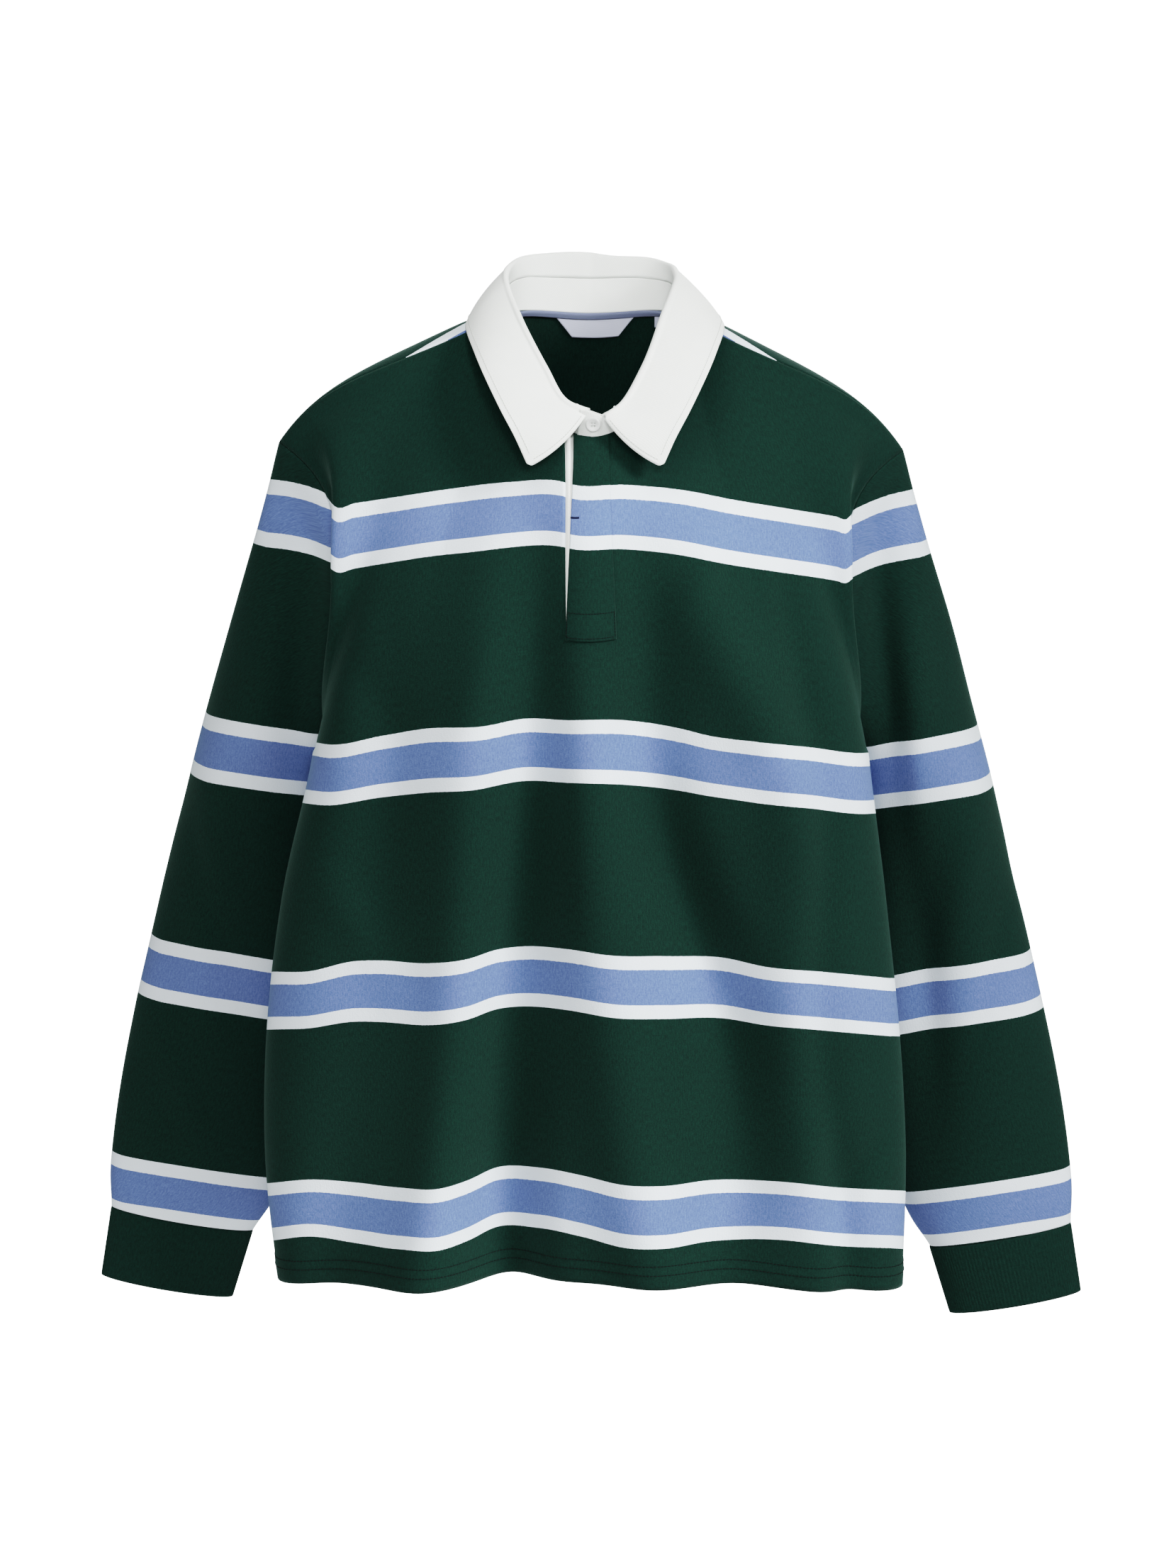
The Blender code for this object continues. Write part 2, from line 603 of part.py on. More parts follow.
def make_button():
    """Flat button on the stand's over end, leaning back with it."""
    lean = np.arctan2(NECK_FRONT[0] - COLLAR["fold_y"][0], COLLAR["fold_z"][0] - NECK_FRONT[1])
    share = (BUTTON_Z - NECK_FRONT[1]) / (COLLAR["fold_z"][0] - NECK_FRONT[1])
    stand_y = NECK_FRONT[0] + (COLLAR["fold_y"][0] - NECK_FRONT[0]) * share
    off = TWILL + 2 * SEAM + BUTTON_THICK / 2
    bpy.ops.mesh.primitive_cylinder_add(vertices=24, radius=BUTTON_RADIUS, depth=BUTTON_THICK)
    button = bpy.context.object
    button.name = "collar_button"
    button.data.name = "collar_button"
    button.rotation_euler = (np.pi / 2 + lean, 0, 0)
    button.location = (BUTTON_X, stand_y - off * np.cos(lean), BUTTON_Z - off * np.sin(lean))
    button.data.materials.append(cloth_material("button"))
    for collection in list(button.users_collection):
        collection.objects.unlink(button)
    parts.objects.link(button)


for old in list(bpy.data.objects):
    bpy.data.objects.remove(old, do_unlink=True)
parts = bpy.data.collections.new("rugby_polo_shirt")
bpy.context.scene.collection.children.link(parts)

front_shape, slit_column = make_front()
back_shape = make_back()
make_placket(front_shape, slit_column)
make_sleeve(-1)
make_sleeve(1)
make_collar()
make_neck_trims(back_shape)
make_button()
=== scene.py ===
# %% [markdown]
# # A long-sleeved rugby polo shirt
# The real shirt is cut from heavy cotton jersey: a front, a back and two sleeves. It has rib
# cuffs, a woven twill collar on a stand, and a short placket. It hangs here as if worn.
# Each cloth piece below is one thin surface, worked out as a grid of points with numpy and
# given its thickness by Solidify. The grids follow the solids of the loaded frame.

# %% Load the frame
import bpy
import numpy as np
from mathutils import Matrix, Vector


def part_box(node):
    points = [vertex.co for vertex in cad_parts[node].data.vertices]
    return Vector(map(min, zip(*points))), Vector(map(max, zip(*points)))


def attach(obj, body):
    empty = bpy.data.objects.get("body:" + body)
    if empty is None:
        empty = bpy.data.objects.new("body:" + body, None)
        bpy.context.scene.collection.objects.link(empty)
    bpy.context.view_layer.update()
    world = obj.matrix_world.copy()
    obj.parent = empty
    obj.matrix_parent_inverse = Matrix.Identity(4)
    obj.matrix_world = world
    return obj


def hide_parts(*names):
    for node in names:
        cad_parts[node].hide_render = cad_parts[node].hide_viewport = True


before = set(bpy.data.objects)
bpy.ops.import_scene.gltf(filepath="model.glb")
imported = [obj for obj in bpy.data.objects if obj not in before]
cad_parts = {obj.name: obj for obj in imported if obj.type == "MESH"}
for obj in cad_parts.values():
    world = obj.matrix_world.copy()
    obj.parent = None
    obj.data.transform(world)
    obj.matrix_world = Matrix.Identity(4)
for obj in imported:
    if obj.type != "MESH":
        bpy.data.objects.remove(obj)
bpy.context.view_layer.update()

# %% [markdown]
# ## Sizes
# Metres, +Z up, the front faces -Y, and +X is the viewer's right. The origin lies between
# the shoulders. These are the shirt's own sizes: its walls, its sections from hem to chest,
# its neck, shoulders and armholes. A share runs from 0 at a panel's centre to 1 at its side.

# %% Sizes of the body
WALL, TWILL, TRIM = 0.0015, 0.0016, 0.0010
SEAM = 0.0003                      # each edge's distance from the seam line
UNDERARM_Z, HEM_SIDE_Z = -0.300, -0.719
HEM_HALF, HEM_RISE = 0.24, {"front": 0.018, "back": 0.010}
# the raised left shoulder carries the hem up too, from this far out and over this width
HEM_LEFT_LIFT, LEFT_LIFT_FROM, LEFT_LIFT_OVER = 0.005, 0.08, 0.14
SIDE_SEAM_ANGLE = 114.0            # degrees round from the centre front
# half widths, how far front and back stand from the middle plane, and y of the widest line
BODY = {
    "z":      (-0.740, -0.610, -0.410, -0.300, -0.180),
    "left":   (0.2400, 0.2500, 0.2310, 0.2030, 0.1840),
    "right":  (0.2400, 0.2410, 0.2200, 0.2020, 0.1840),
    "front":  (0.0880, 0.0930, 0.1120, 0.1210, 0.1190),
    "back":   (0.0640, 0.0720, 0.1000, 0.1150, 0.1180),
    "widest": (-0.024, -0.030, -0.044, -0.052, -0.056),
}
FRONT_ROUND, BACK_ROUND = 2.9, 2.1
NECK_POINT = np.array((0.076, -0.013, 0.0160))
SHOULDER_TIP = np.array((0.2335, -0.006, -0.0795))
SHOULDER_BOW, SHOULDER_ROUND, SEAM_FORWARD = 0.013, 0.075, (0.0, -0.014, -0.0030)
LEFT_TIP_LIFT = 0.006              # the shoulder on the viewer's left is carried higher
NECK_MIDDLE = {"front": (-0.088, -0.0640), "back": (0.052, 0.0195)}
NECK_BACK_ARCH = 0.0045
UNDERARM = np.array((0.203, 0.014, UNDERARM_Z))
ARMHOLE_AHEAD, ARMHOLE_BEHIND, ARMHOLE_HOLLOW = 0.040, 0.066, 0.036
# the soft ridge in front of the armhole: its height and how much of that also goes outward,
# where it stands and its half widths on either side, and the shares of the way up at its ends
FRONT_RIDGE, RIDGE_OUT = 0.016, 0.9
RIDGE_SHARE, RIDGE_INSIDE, RIDGE_OUTSIDE = 0.89, 0.11, 0.055
RIDGE_FOOT, RIDGE_HEAD, RIDGE_FLAT = 0.12, 0.92, 0.06    # flat by this share from the armhole
NECK_SHARE, EDGE_BLEND = 0.46, 5   # share of the neck point, and power of the pull to an edge
SOFTENINGS, SOFTEN_SHARE, SOFTEN_TOP = 60, 0.30, 0.08
# directions in which the panels' columns arrive at the top edge
FRONT_ARRIVES = np.array((0.0, 0.50, 0.75))
BACK_NECK_ARRIVES = np.array((0.0, -0.30, 0.80))
BACK_SHOULDER_ARRIVES = np.array((0.0, -0.70, -0.55))
PLACKET_SHARE, HALF_CHEST = 0.067, 0.290
SLIT_FOOT, SLIT_FOOT_WIDTH, SLIT_TOP_WIDTH = 0.42, 0.0010, 0.0115

LOW_ROWS, HIGH_ROWS = 110, 96     # rows of quads below and above the underarm
SIDES = {-1: "left", 1: "right"}  # as the viewer sees them
print("hem to underarm", round(UNDERARM_Z - HEM_SIDE_Z, 3), "m")

# %% [markdown]
# ## Curves through tables
# A garment is drafted from a few sizes with smooth curves between them. `through` is that
# curve: a cubic whose slope at each size comes from its neighbours, so the surface has no
# corners where one row of a table ends and the next begins.


# %% Curve helpers
def through(at, knots, table):
    """Cubic Hermite: with f the share of the step, h00*a + h10*step*slope_a + h01*b +
    h11*step*slope_b. A 2-D `at` on a 2-D table reads each column of the table by itself."""
    knots, table, at = (np.asarray(v, float) for v in (knots, table, at))
    slopes = np.gradient(table, knots, axis=0)
    i = np.clip(np.searchsorted(knots, at, side="right") - 1, 0, len(knots) - 2)
    step = knots[i + 1] - knots[i]
    f = (at - knots[i]) / step
    if table.ndim == 2 and at.ndim == 2:
        column = np.arange(table.shape[1])
        a, b, sa, sb = table[i, column], table[i + 1, column], slopes[i, column], slopes[i + 1, column]
    else:
        a, b, sa, sb = table[i], table[i + 1], slopes[i], slopes[i + 1]
        if table.ndim == 2:
            f, step = f[:, None], step[:, None]
    return ((1 + 2 * f) * (1 - f) ** 2 * a + f * (1 - f) ** 2 * step * sa
            + f * f * (3 - 2 * f) * b - f * f * (1 - f) * step * sb)


def unit(v):
    """v divided by its own length."""
    return v / np.maximum(np.linalg.norm(v, axis=-1, keepdims=True), 1e-12)


def lengths(points, axis=0):
    """Running length along a polyline, 0 at its first point."""
    points = np.moveaxis(points, axis, 0)
    steps = np.linalg.norm(np.diff(points, axis=0), axis=-1)
    return np.moveaxis(np.concatenate([np.zeros((1,) + steps.shape[1:]), np.cumsum(steps, 0)]), 0, axis)


def at_length(at, run, values):
    """Linear reading of a polyline's points, or of what belongs to them, at running lengths."""
    return np.stack([np.interp(at, run, values[:, k]) for k in range(values.shape[1])], 1)


def smooth(t):
    """0 below 0, 1 above 1, and 3t^2 - 2t^3 between."""
    t = np.clip(t, 0, 1)
    return t * t * (3 - 2 * t)


def bump(distance, width):
    """Bell curve exp(-(distance/width)^2): one soft fold seen end on."""
    return np.exp(-(distance / width) ** 2)


# %% [markdown]
# ## Body panels
# The front and back panels meet at side seams that sit a little behind the widest line.
# Below the underarm each level is a superellipse, flatter in front than behind. Above it,
# every column is carried up on a cubic to the neckline or the shoulder seam, and the rows'
# ends are pulled to the armhole. In front, a soft ridge stands just inside the armhole,
# where worn cloth turns back towards the sleeve. Behind, the rows are evened out below the
# neck. Curves of the same kind made the solids of the frame.


# %% Body sections
def body_section(z, side, angle):
    """Superellipse: x = half*|sin a|^(2/n), y = widest +- reach*|cos a|^(2/n)."""
    half = through(z, BODY["z"], BODY[SIDES[side]])
    widest, front, back = (through(z, BODY["z"], BODY[key]) for key in ("widest", "front", "back"))
    ahead = np.cos(angle) >= 0
    power = np.where(ahead, 2.0 / FRONT_ROUND, 2.0 / BACK_ROUND)
    reach = np.where(ahead, -(front + widest), back - widest)
    x = side * half * np.abs(np.sin(angle)) ** power
    return np.stack([x, widest + reach * np.abs(np.cos(angle)) ** power], -1)


def angles_at(panel, side, z, shares):
    """Angle on the section at height z whose share of the half panel's length is given."""
    start = 0.0 if panel == "front" else 180.0
    fine = np.radians(np.linspace(start, SIDE_SEAM_ANGLE, 721))
    run = lengths(body_section(z, side, fine))
    return np.interp(shares, run / run[-1], fine)


def tip_of(side):
    """The shoulder tip as if on the right, with the left one's lift."""
    return SHOULDER_TIP + (0, 0, LEFT_TIP_LIFT if side < 0 else 0.0)


def top_edge(shares, panel, side):
    """Neckline for shares below NECK_SHARE: quarter-turn sines from the centre to the neck
    point. Past it the shoulder seam: a chord plus an arch 4s(1-s), rounder near the tip."""
    turn = np.clip(shares / NECK_SHARE, 0, 1) * np.pi / 2
    y_mid, z_mid = NECK_MIDDLE[panel]
    if panel == "front":
        x = NECK_POINT[0] * (0.75 * turn / (np.pi / 2) + 0.25 * np.sin(turn))
        rise, arch = 1 - np.cos(turn) ** 1.15, 0.0
    else:
        x = NECK_POINT[0] * np.sin(turn)
        rise, arch = 1 - np.cos(turn) ** 1.6, NECK_BACK_ARCH * np.sin(2 * turn) ** 2
    neck = np.stack([x, y_mid + (NECK_POINT[1] - y_mid) * rise,
                     z_mid + (NECK_POINT[2] - z_mid) * rise + arch], -1)
    s = np.clip((shares - NECK_SHARE) / (1 - NECK_SHARE), 0, 1)
    seam = NECK_POINT + (tip_of(side) - NECK_POINT) * s[..., None]
    seam[..., 2] += SHOULDER_BOW * 4 * s * (1 - s) * (0.5 + 0.9 * s) + SHOULDER_ROUND * s ** 4 * (1 - s)
    seam += (4 * s * (1 - s))[..., None] * SEAM_FORWARD
    return np.where((shares < NECK_SHARE)[..., None], neck, seam) * (side, 1, 1)


def armhole(degrees, side):
    """Closed loop from the shoulder tip (0) by the front (90) to the underarm (180): the
    chord from low to tip at (1+cos)/2, scooped inward and spread by sin front to back."""
    a = np.radians(degrees)
    points = UNDERARM + (tip_of(side) - UNDERARM) * ((1 + np.cos(a)) / 2)[..., None]
    scoop = np.where(np.cos(a) > 0, 1 - np.abs(np.cos(a)) ** 5, np.abs(np.sin(a)) ** 3)
    points[..., 0] -= ARMHOLE_HOLLOW * scoop
    points[..., 1] -= np.where(np.sin(a) > 0, ARMHOLE_AHEAD, ARMHOLE_BEHIND) * np.sin(a)
    return points * (side, 1, 1)


# %% Rows above the underarm
SMALL_RISE = 0.01                  # how far up the slope at the underarm is measured


def upper_rows(panel, side, t, columns):
    """Cubic from the underarm's section to the top edge at share t, for each column."""
    low, above = (body_section(z, side, angles_at(panel, side, z, columns))
                  for z in (UNDERARM_Z, UNDERARM_Z + SMALL_RISE))
    start = np.concatenate([low, np.full(low.shape[:-1] + (1,), UNDERARM_Z)], -1)
    leave = np.concatenate([(above - low) / SMALL_RISE, np.ones(low.shape[:-1] + (1,))], -1)
    top = top_edge(columns, panel, side)
    reach = np.linalg.norm(top - start, axis=-1)[..., None]
    if panel == "front":
        arrive = FRONT_ARRIVES
    else:
        over = np.clip(columns / NECK_SHARE, 0, 1)[..., None] ** 1.5
        arrive = (1 - over) * BACK_NECK_ARRIVES + over * BACK_SHOULDER_ARRIVES
    t = np.asarray(t, float)[..., None]
    return ((1 + 2 * t) * (1 - t) ** 2 * start + t * (1 - t) ** 2 * reach * leave
            + t * t * (3 - 2 * t) * top - t * t * (1 - t) * reach * arrive)


def cut_at_armhole(panel, side, t):
    """Share of the row that lies nearest the armhole, found at a few rows and curved between."""
    rows = np.linspace(0, 1, 13)
    turns = 180 * (1 - rows) if panel == "front" else 180 * (1 + rows)
    nearby = np.linspace(0.6, 1.0, 401)
    there = upper_rows(panel, side, rows[:, None] + 0 * nearby, nearby + 0 * rows[:, None])
    apart = np.linalg.norm(there - armhole(turns, side)[:, None], axis=-1)
    return through(t, rows, nearby[np.argmin(apart, axis=1)])


def soften(rows, high, t):
    """Cloth carries no corner of the neck downwards: points near the neck point's column move
    to the mean of their neighbours, again and again, less and less towards the top edge."""
    weight = 0.5 * smooth((1 - t[:, None]) / SOFTEN_TOP) * bump(high - NECK_SHARE, SOFTEN_SHARE)
    for _ in range(SOFTENINGS):
        mean = (rows[:, :-2] + rows[:, 2:]) / 2
        rows[:, 1:-1] += (mean - rows[:, 1:-1]) * weight[:, 1:-1, None]


# %% One half of a panel
def half_panel(panel, side, low, high):
    """One half, hem to top. `low` holds the columns' shares below the underarm and `high`
    one row of shares for each row above it, 0 at the centre and 1 at seam and armhole."""
    levels = np.linspace(HEM_SIDE_Z - 0.02, UNDERARM_Z, 22)     # the table starts below the hem
    table = np.array([angles_at(panel, side, z, low) for z in levels])
    rise = np.linspace(0, 1, LOW_ROWS + 1)[:-1, None]
    x_hem = body_section(HEM_SIDE_Z, side, angles_at(panel, side, HEM_SIDE_Z, low))[:, 0]
    z = HEM_SIDE_Z + HEM_RISE[panel] * np.clip(1 - (x_hem / HEM_HALF) ** 2, 0, 1)
    z = z + HEM_LEFT_LIFT * smooth((-x_hem - LEFT_LIFT_FROM) / LEFT_LIFT_OVER)
    z = z + (UNDERARM_Z - z) * rise
    chest_end = body_section(UNDERARM_Z, side, angles_at(panel, side, UNDERARM_Z, np.array([1.0])))[0]
    pull = low[:, None] ** EDGE_BLEND * (UNDERARM[:2] * (side, 1) - chest_end) * rise[..., None] ** 4
    lower = np.concatenate([body_section(z, side, through(z, levels, table)) + pull, z[..., None]], -1)

    t = np.linspace(0, 1, HIGH_ROWS + 1)
    turns = 180 * (1 - t) if panel == "front" else 180 * (1 + t)
    cut = cut_at_armhole(panel, side, t)
    row = upper_rows(panel, side, t[:, None] + 0 * high, high * (1 - (1 - cut[:, None]) * high ** 2))
    end = upper_rows(panel, side, t, cut)
    upper = row + high[..., None] ** EDGE_BLEND * (armhole(turns, side) - end)[:, None]
    if panel == "front":
        up = np.sin(np.pi * np.clip((t - RIDGE_FOOT) / (RIDGE_HEAD - RIDGE_FOOT), 0, 1))
        width = np.where(high < RIDGE_SHARE, RIDGE_INSIDE, RIDGE_OUTSIDE)
        across = bump(high - RIDGE_SHARE, width) * smooth((1 - high) / RIDGE_FLAT)
        lift = FRONT_RIDGE * up[:, None] * across
        upper = upper + np.stack([side * RIDGE_OUT * lift, -lift, 0 * lift], -1)
    else:
        soften(upper, high, t)
    return np.concatenate([lower, upper])


print("row of the underarm cut at", cut_at_armhole("front", 1, np.array([0.0, 0.5, 1.0])).round(3))

# %% [markdown]
# ## Folds
# Cloth that hangs free shows a few big folds that widen towards the hem, and smaller
# creases where it is pulled, as between collar and armhole. Each is one row of a table: a
# line on the panel, a half width and a height. A bell curve across the line moves the
# points along the surface's own normal, so that a fold hardly shears the cloth.

# %% Fold tables
SEAM_HOLDS, FOLD_RISE = 16, 0.2    # folds end at the side seams, and hardly move in height
CREASE_LONG = 0.45                 # a crease's bell along its line, as a share of its length
FOLD_LEVELS = (-0.740, -0.670, -0.500, -0.330, -0.160, -0.080)
FOLDS = (
    # panel, half_width, then x and height at each level, hem first
    ("front", 0.030, (-0.135, -0.122, -0.099, -0.088, -0.067, -0.060),
     (0.019, 0.019, 0.015, 0.013, 0.008, 0.0)),
    ("front", 0.028, (-0.060, -0.063, -0.059, -0.044, -0.041, -0.041),
     (-0.030, -0.029, -0.019, -0.016, -0.009, 0.0)),
    ("front", 0.034, (0.055, 0.040, 0.016, -0.002, -0.010, 0.000),
     (0.016, 0.018, 0.017, 0.014, 0.008, 0.0)),
    ("front", 0.029, (0.112, 0.110, 0.100, 0.047, 0.037, 0.037),
     (-0.008, -0.009, -0.019, -0.018, -0.010, 0.0)),
    ("front", 0.029, (0.180, 0.172, 0.160, 0.148, 0.076, 0.070),
     (0.006, 0.006, 0.009, 0.011, 0.009, 0.0)),
    ("front", 0.016, (0.200, 0.193, 0.170, 0.170, 0.140, 0.130),
     (-0.009, -0.009, -0.007, -0.007, -0.004, 0.0)),
    ("front", 0.026, (-0.205, -0.195, -0.170, -0.153, -0.150, -0.150),
     (-0.009, -0.006, -0.003, -0.008, -0.003, 0.0)),
    ("back", 0.040, (-0.125, -0.118, -0.105, -0.095, -0.085, -0.080),
     (0.014, 0.012, 0.008, 0.005, 0.002, 0.0)),
    ("back", 0.036, (-0.030, -0.028, -0.020, -0.026, -0.030, -0.030),
     (-0.015, -0.012, -0.009, -0.006, -0.003, 0.0)),
    ("back", 0.036, (0.055, 0.052, 0.060, 0.066, 0.060, 0.060),
     (0.011, 0.010, 0.008, 0.005, 0.003, 0.0)),
    ("back", 0.030, (0.130, 0.128, 0.122, 0.128, 0.120, 0.110),
     (-0.010, -0.009, -0.007, -0.005, -0.002, 0.0)),
    ("back", 0.026, (-0.190, -0.185, -0.175, -0.160, -0.150, -0.150),
     (-0.008, -0.007, -0.006, -0.005, -0.001, 0.0)),
)
CREASES = (
    # whose, x and z of one end, x and z of the other, half_width, height
    ("front", 0.098, -0.125, 0.060, -0.200, 0.012, 0.0022),
    ("front", 0.118, -0.118, 0.092, -0.176, 0.009, -0.0018),
    ("front", 0.145, -0.120, 0.122, -0.190, 0.010, 0.0016),
    ("front", 0.190, -0.560, 0.135, -0.640, 0.020, 0.0040),
    ("front", 0.222, -0.585, 0.172, -0.668, 0.009, -0.0022),
    ("front", 0.226, -0.625, 0.190, -0.680, 0.008, 0.0018),
    ("front", 0.040, -0.205, 0.012, -0.270, 0.010, 0.0014),
    ("front", -0.060, -0.190, -0.095, -0.280, 0.012, 0.0016),
    ("front", 0.165, -0.240, 0.120, -0.330, 0.014, -0.0022),
    ("front", -0.200, -0.380, -0.150, -0.470, 0.016, 0.0024),
    ("front", -0.185, -0.210, -0.150, -0.280, 0.016, -0.0020),
    ("back", -0.130, -0.120, -0.060, -0.330, 0.026, 0.0050),
    ("back", 0.120, -0.110, 0.075, -0.300, 0.026, 0.0045),
    ("back", -0.160, -0.420, -0.060, -0.520, 0.024, 0.0040),
    ("back", 0.150, -0.480, 0.060, -0.560, 0.022, -0.0035),
)


# %% Adding the folds
def facing(grid, flip=False):
    """Unit normals: cross product of the steps across and up the grid."""
    out = unit(np.cross(np.gradient(grid, axis=1), np.gradient(grid, axis=0)))
    return -out if flip else out


def line_distance(points, x1, z1, x2, z2):
    """Distance across a line on the panel as seen from the front, and share along it."""
    along = np.array((x2 - x1, z2 - z1))
    run = np.hypot(*along)
    along = along / run
    from_start = points[..., (0, 2)] - (x1, z1)
    return from_start @ np.array((-along[1], along[0])), from_start @ along / run


def crease_heights(points, creases, whose):
    """Sum of one panel's or sleeve's creases: a bell across each line, a wide one along it."""
    out = np.zeros(points.shape[:2])
    for name, x1, z1, x2, z2, half_width, height in creases:
        if name == whose:
            across, share = line_distance(points, x1, z1, x2, z2)
            out += height * bump(across, half_width) * bump(share - 0.5, CREASE_LONG)
    return out


def add_folds(grid, panel, columns):
    """Sum of the panel's folds and creases, moved along the normal and fading at its edges."""
    out = crease_heights(grid, CREASES, panel)
    level = np.clip(grid[..., 2], FOLD_LEVELS[0], FOLD_LEVELS[-1])
    for name, half_width, at_x, heights in FOLDS:
        if name == panel:
            middle = through(level, FOLD_LEVELS, at_x)
            out += through(level, FOLD_LEVELS, heights) * bump(grid[..., 0] - middle, half_width)
    out *= 1 - np.abs(columns) ** SEAM_HOLDS
    normal = facing(grid, panel == "back") * (1, 1, FOLD_RISE)
    return grid + out[..., None] * normal


# %% [markdown]
# ## Stripes, as the cloth lies
# The yarn-dyed bands are knitted in: white, blue, white, 47 mm deep and 172 mm apart. They
# belong to the cloth, so each point gets a height on the cloth, stored in its UV map, and
# the material only reads that height. On the front, the height comes from where the bands
# run on the hanging shirt, seen from the camera. The tables give those lines in pixels of
# the view, read at a few places across. Back and sleeves carry on from the seams.

# %% Camera of the photograph
CAMERA = np.array((-0.0024, -2.60, 0.11))
TILT = np.radians(9.7)
LENS, SENSOR = 79.4, 36.0
VIEW = (1659, 2212)
FOCAL = LENS / SENSOR * VIEW[1]


def seen_at(points):
    """Pinhole camera: right and down in the view are the offsets over the distance ahead."""
    away = points - CAMERA
    ahead = away[..., 1] * np.cos(TILT) - away[..., 2] * np.sin(TILT)
    up = away[..., 1] * np.sin(TILT) + away[..., 2] * np.cos(TILT)
    return VIEW[0] / 2 + FOCAL * away[..., 0] / ahead, VIEW[1] / 2 - FOCAL * up / ahead


# %% Where the bands run
PITCH, BAND = 0.172, 0.047
BAND_TOPS = {
    # for each band, counted from the lowest: places right and down in the view
    3: ((382, 672), (440, 691), (458, 699), (467, 709), (472, 714), (500, 710), (560, 701),
        (640, 689), (720, 680), (795, 680), (808, 684), (880, 684), (960, 691), (1040, 706),
        (1120, 719), (1180, 729), (1195, 732), (1201, 726), (1212, 719), (1245, 706),
        (1290, 688)),
    2: ((380, 1030), (440, 1046), (460, 1050), (540, 1038), (600, 1028), (680, 1025),
        (740, 1014), (800, 1016), (880, 1016), (960, 1028), (1000, 1038), (1060, 1046),
        (1140, 1054), (1225, 1062), (1290, 1046)),
    1: ((395, 1371), (430, 1371), (500, 1356), (540, 1355), (600, 1359), (660, 1353), (700, 1340),
        (740, 1335), (800, 1339), (860, 1348), (940, 1349), (1020, 1351), (1080, 1364),
        (1160, 1371), (1255, 1380)),
    0: ((380, 1669), (440, 1664), (500, 1668), (560, 1675), (620, 1677), (660, 1665), (700, 1647),
        (760, 1647), (820, 1658), (880, 1672), (940, 1673), (1000, 1665), (1100, 1667),
        (1180, 1675), (1278, 1680)),
}
SLEEVE_TOPS = {
    # side: for each band from the top, x and z of its upper line outside and inside
    1: ((0.248, -0.109, 0.196, -0.1215), (0.297, -0.2945, 0.213, -0.306),
        (0.339, -0.4765, 0.233, -0.492), (0.374, -0.6515, 0.248, -0.6715)),
    -1: ((-0.243, -0.102, -0.196, -0.110), (-0.294, -0.285, -0.216, -0.295),
         (-0.336, -0.465, -0.240, -0.479), (-0.371, -0.640, -0.251, -0.659)),
}
SLEEVE_BOW, BACK_RISE = 0.0025, 0.012
HIGHEST = 3 * PITCH + 0.115        # no more of the cloth than this lies above the hem's band
# height of the back's cloth along its top edge, at shares from the centre to the armhole
BACK_TOP = {"share": (0.0, 0.25, 0.46, 0.67, 0.85, 1.0),
            "height": (0.628, 0.634, 0.655, 0.641, 0.615, 0.590)}


def between(down, lines):
    """Height on the cloth at a place between lines: straight in each gap, and past the
    first and last line with the slope of the nearest gap."""
    height = np.zeros(down.shape)
    for k in range(len(lines) - 1):
        (h1, v1), (h2, v2) = lines[k], lines[k + 1]
        here = h1 + (h2 - h1) * (down - v1) / (v2 - v1)
        first, last = k == 0, k == len(lines) - 2
        inside = ((down >= v1) | first) & ((down < v2) | last)
        height = np.where(inside, here, height)
    return height


def front_heights(grid):
    """Each point is looked up between the bands' lines in the camera's view."""
    right, down = seen_at(grid)
    lines = []
    for band in (3, 2, 1, 0):
        places = np.array(BAND_TOPS[band], float)
        across = np.clip(right, places[0, 0], places[-1, 0])
        line = through(across.ravel(), places[:, 0], places[:, 1]).reshape(across.shape)
        lines.append((band * PITCH, line))
    return np.minimum(between(down, lines), HIGHEST)


def sleeve_heights(grid, side):
    """Bands cross the sleeve on straight lines in x and z, bowed by (1 - s^2) between edges."""
    lines = []
    for k, (x1, z1, x2, z2) in enumerate(SLEEVE_TOPS[side]):
        s = (grid[..., 0] - x2) / (x1 - x2)
        z = z2 + (z1 - z2) * s + SLEEVE_BOW * 4 * np.clip(s * (1 - s), 0, 1)
        lines.append(((3 - k) * PITCH, -z))
    return between(-grid[..., 2], lines)


# %% [markdown]
# ## From grid to cloth
# Every piece of cloth ends up here: the grid becomes quads, the running width and the height
# on the cloth become a UV map in metres, and Solidify adds the wall. A live Solidify keeps
# the mesh light and closes the rim at every cut edge.


# %% Objects from points and faces
def put_in_scene(name, data):
    """An object of this data, at the origin and linked to the scene."""
    thing = bpy.data.objects.new(name, data)
    bpy.context.scene.collection.objects.link(thing)
    return thing


def new_piece(name, points, faces, material=None):
    """A mesh of these points and faces, put in the scene with its finish."""
    mesh = bpy.data.meshes.new(name)
    mesh.from_pydata(points, [], faces)
    if material:
        mesh.materials.append(material)
    return put_in_scene(name, mesh)


def ring_quads(sides, rings):
    """Quads between rings of `sides` points: this point, the next one, and the two above."""
    k = np.arange(sides)
    after = (k + 1) % sides
    quad = np.stack([k, after, after + sides, k + sides], 1)
    return np.concatenate([quad + ring * sides for ring in range(rings - 1)])


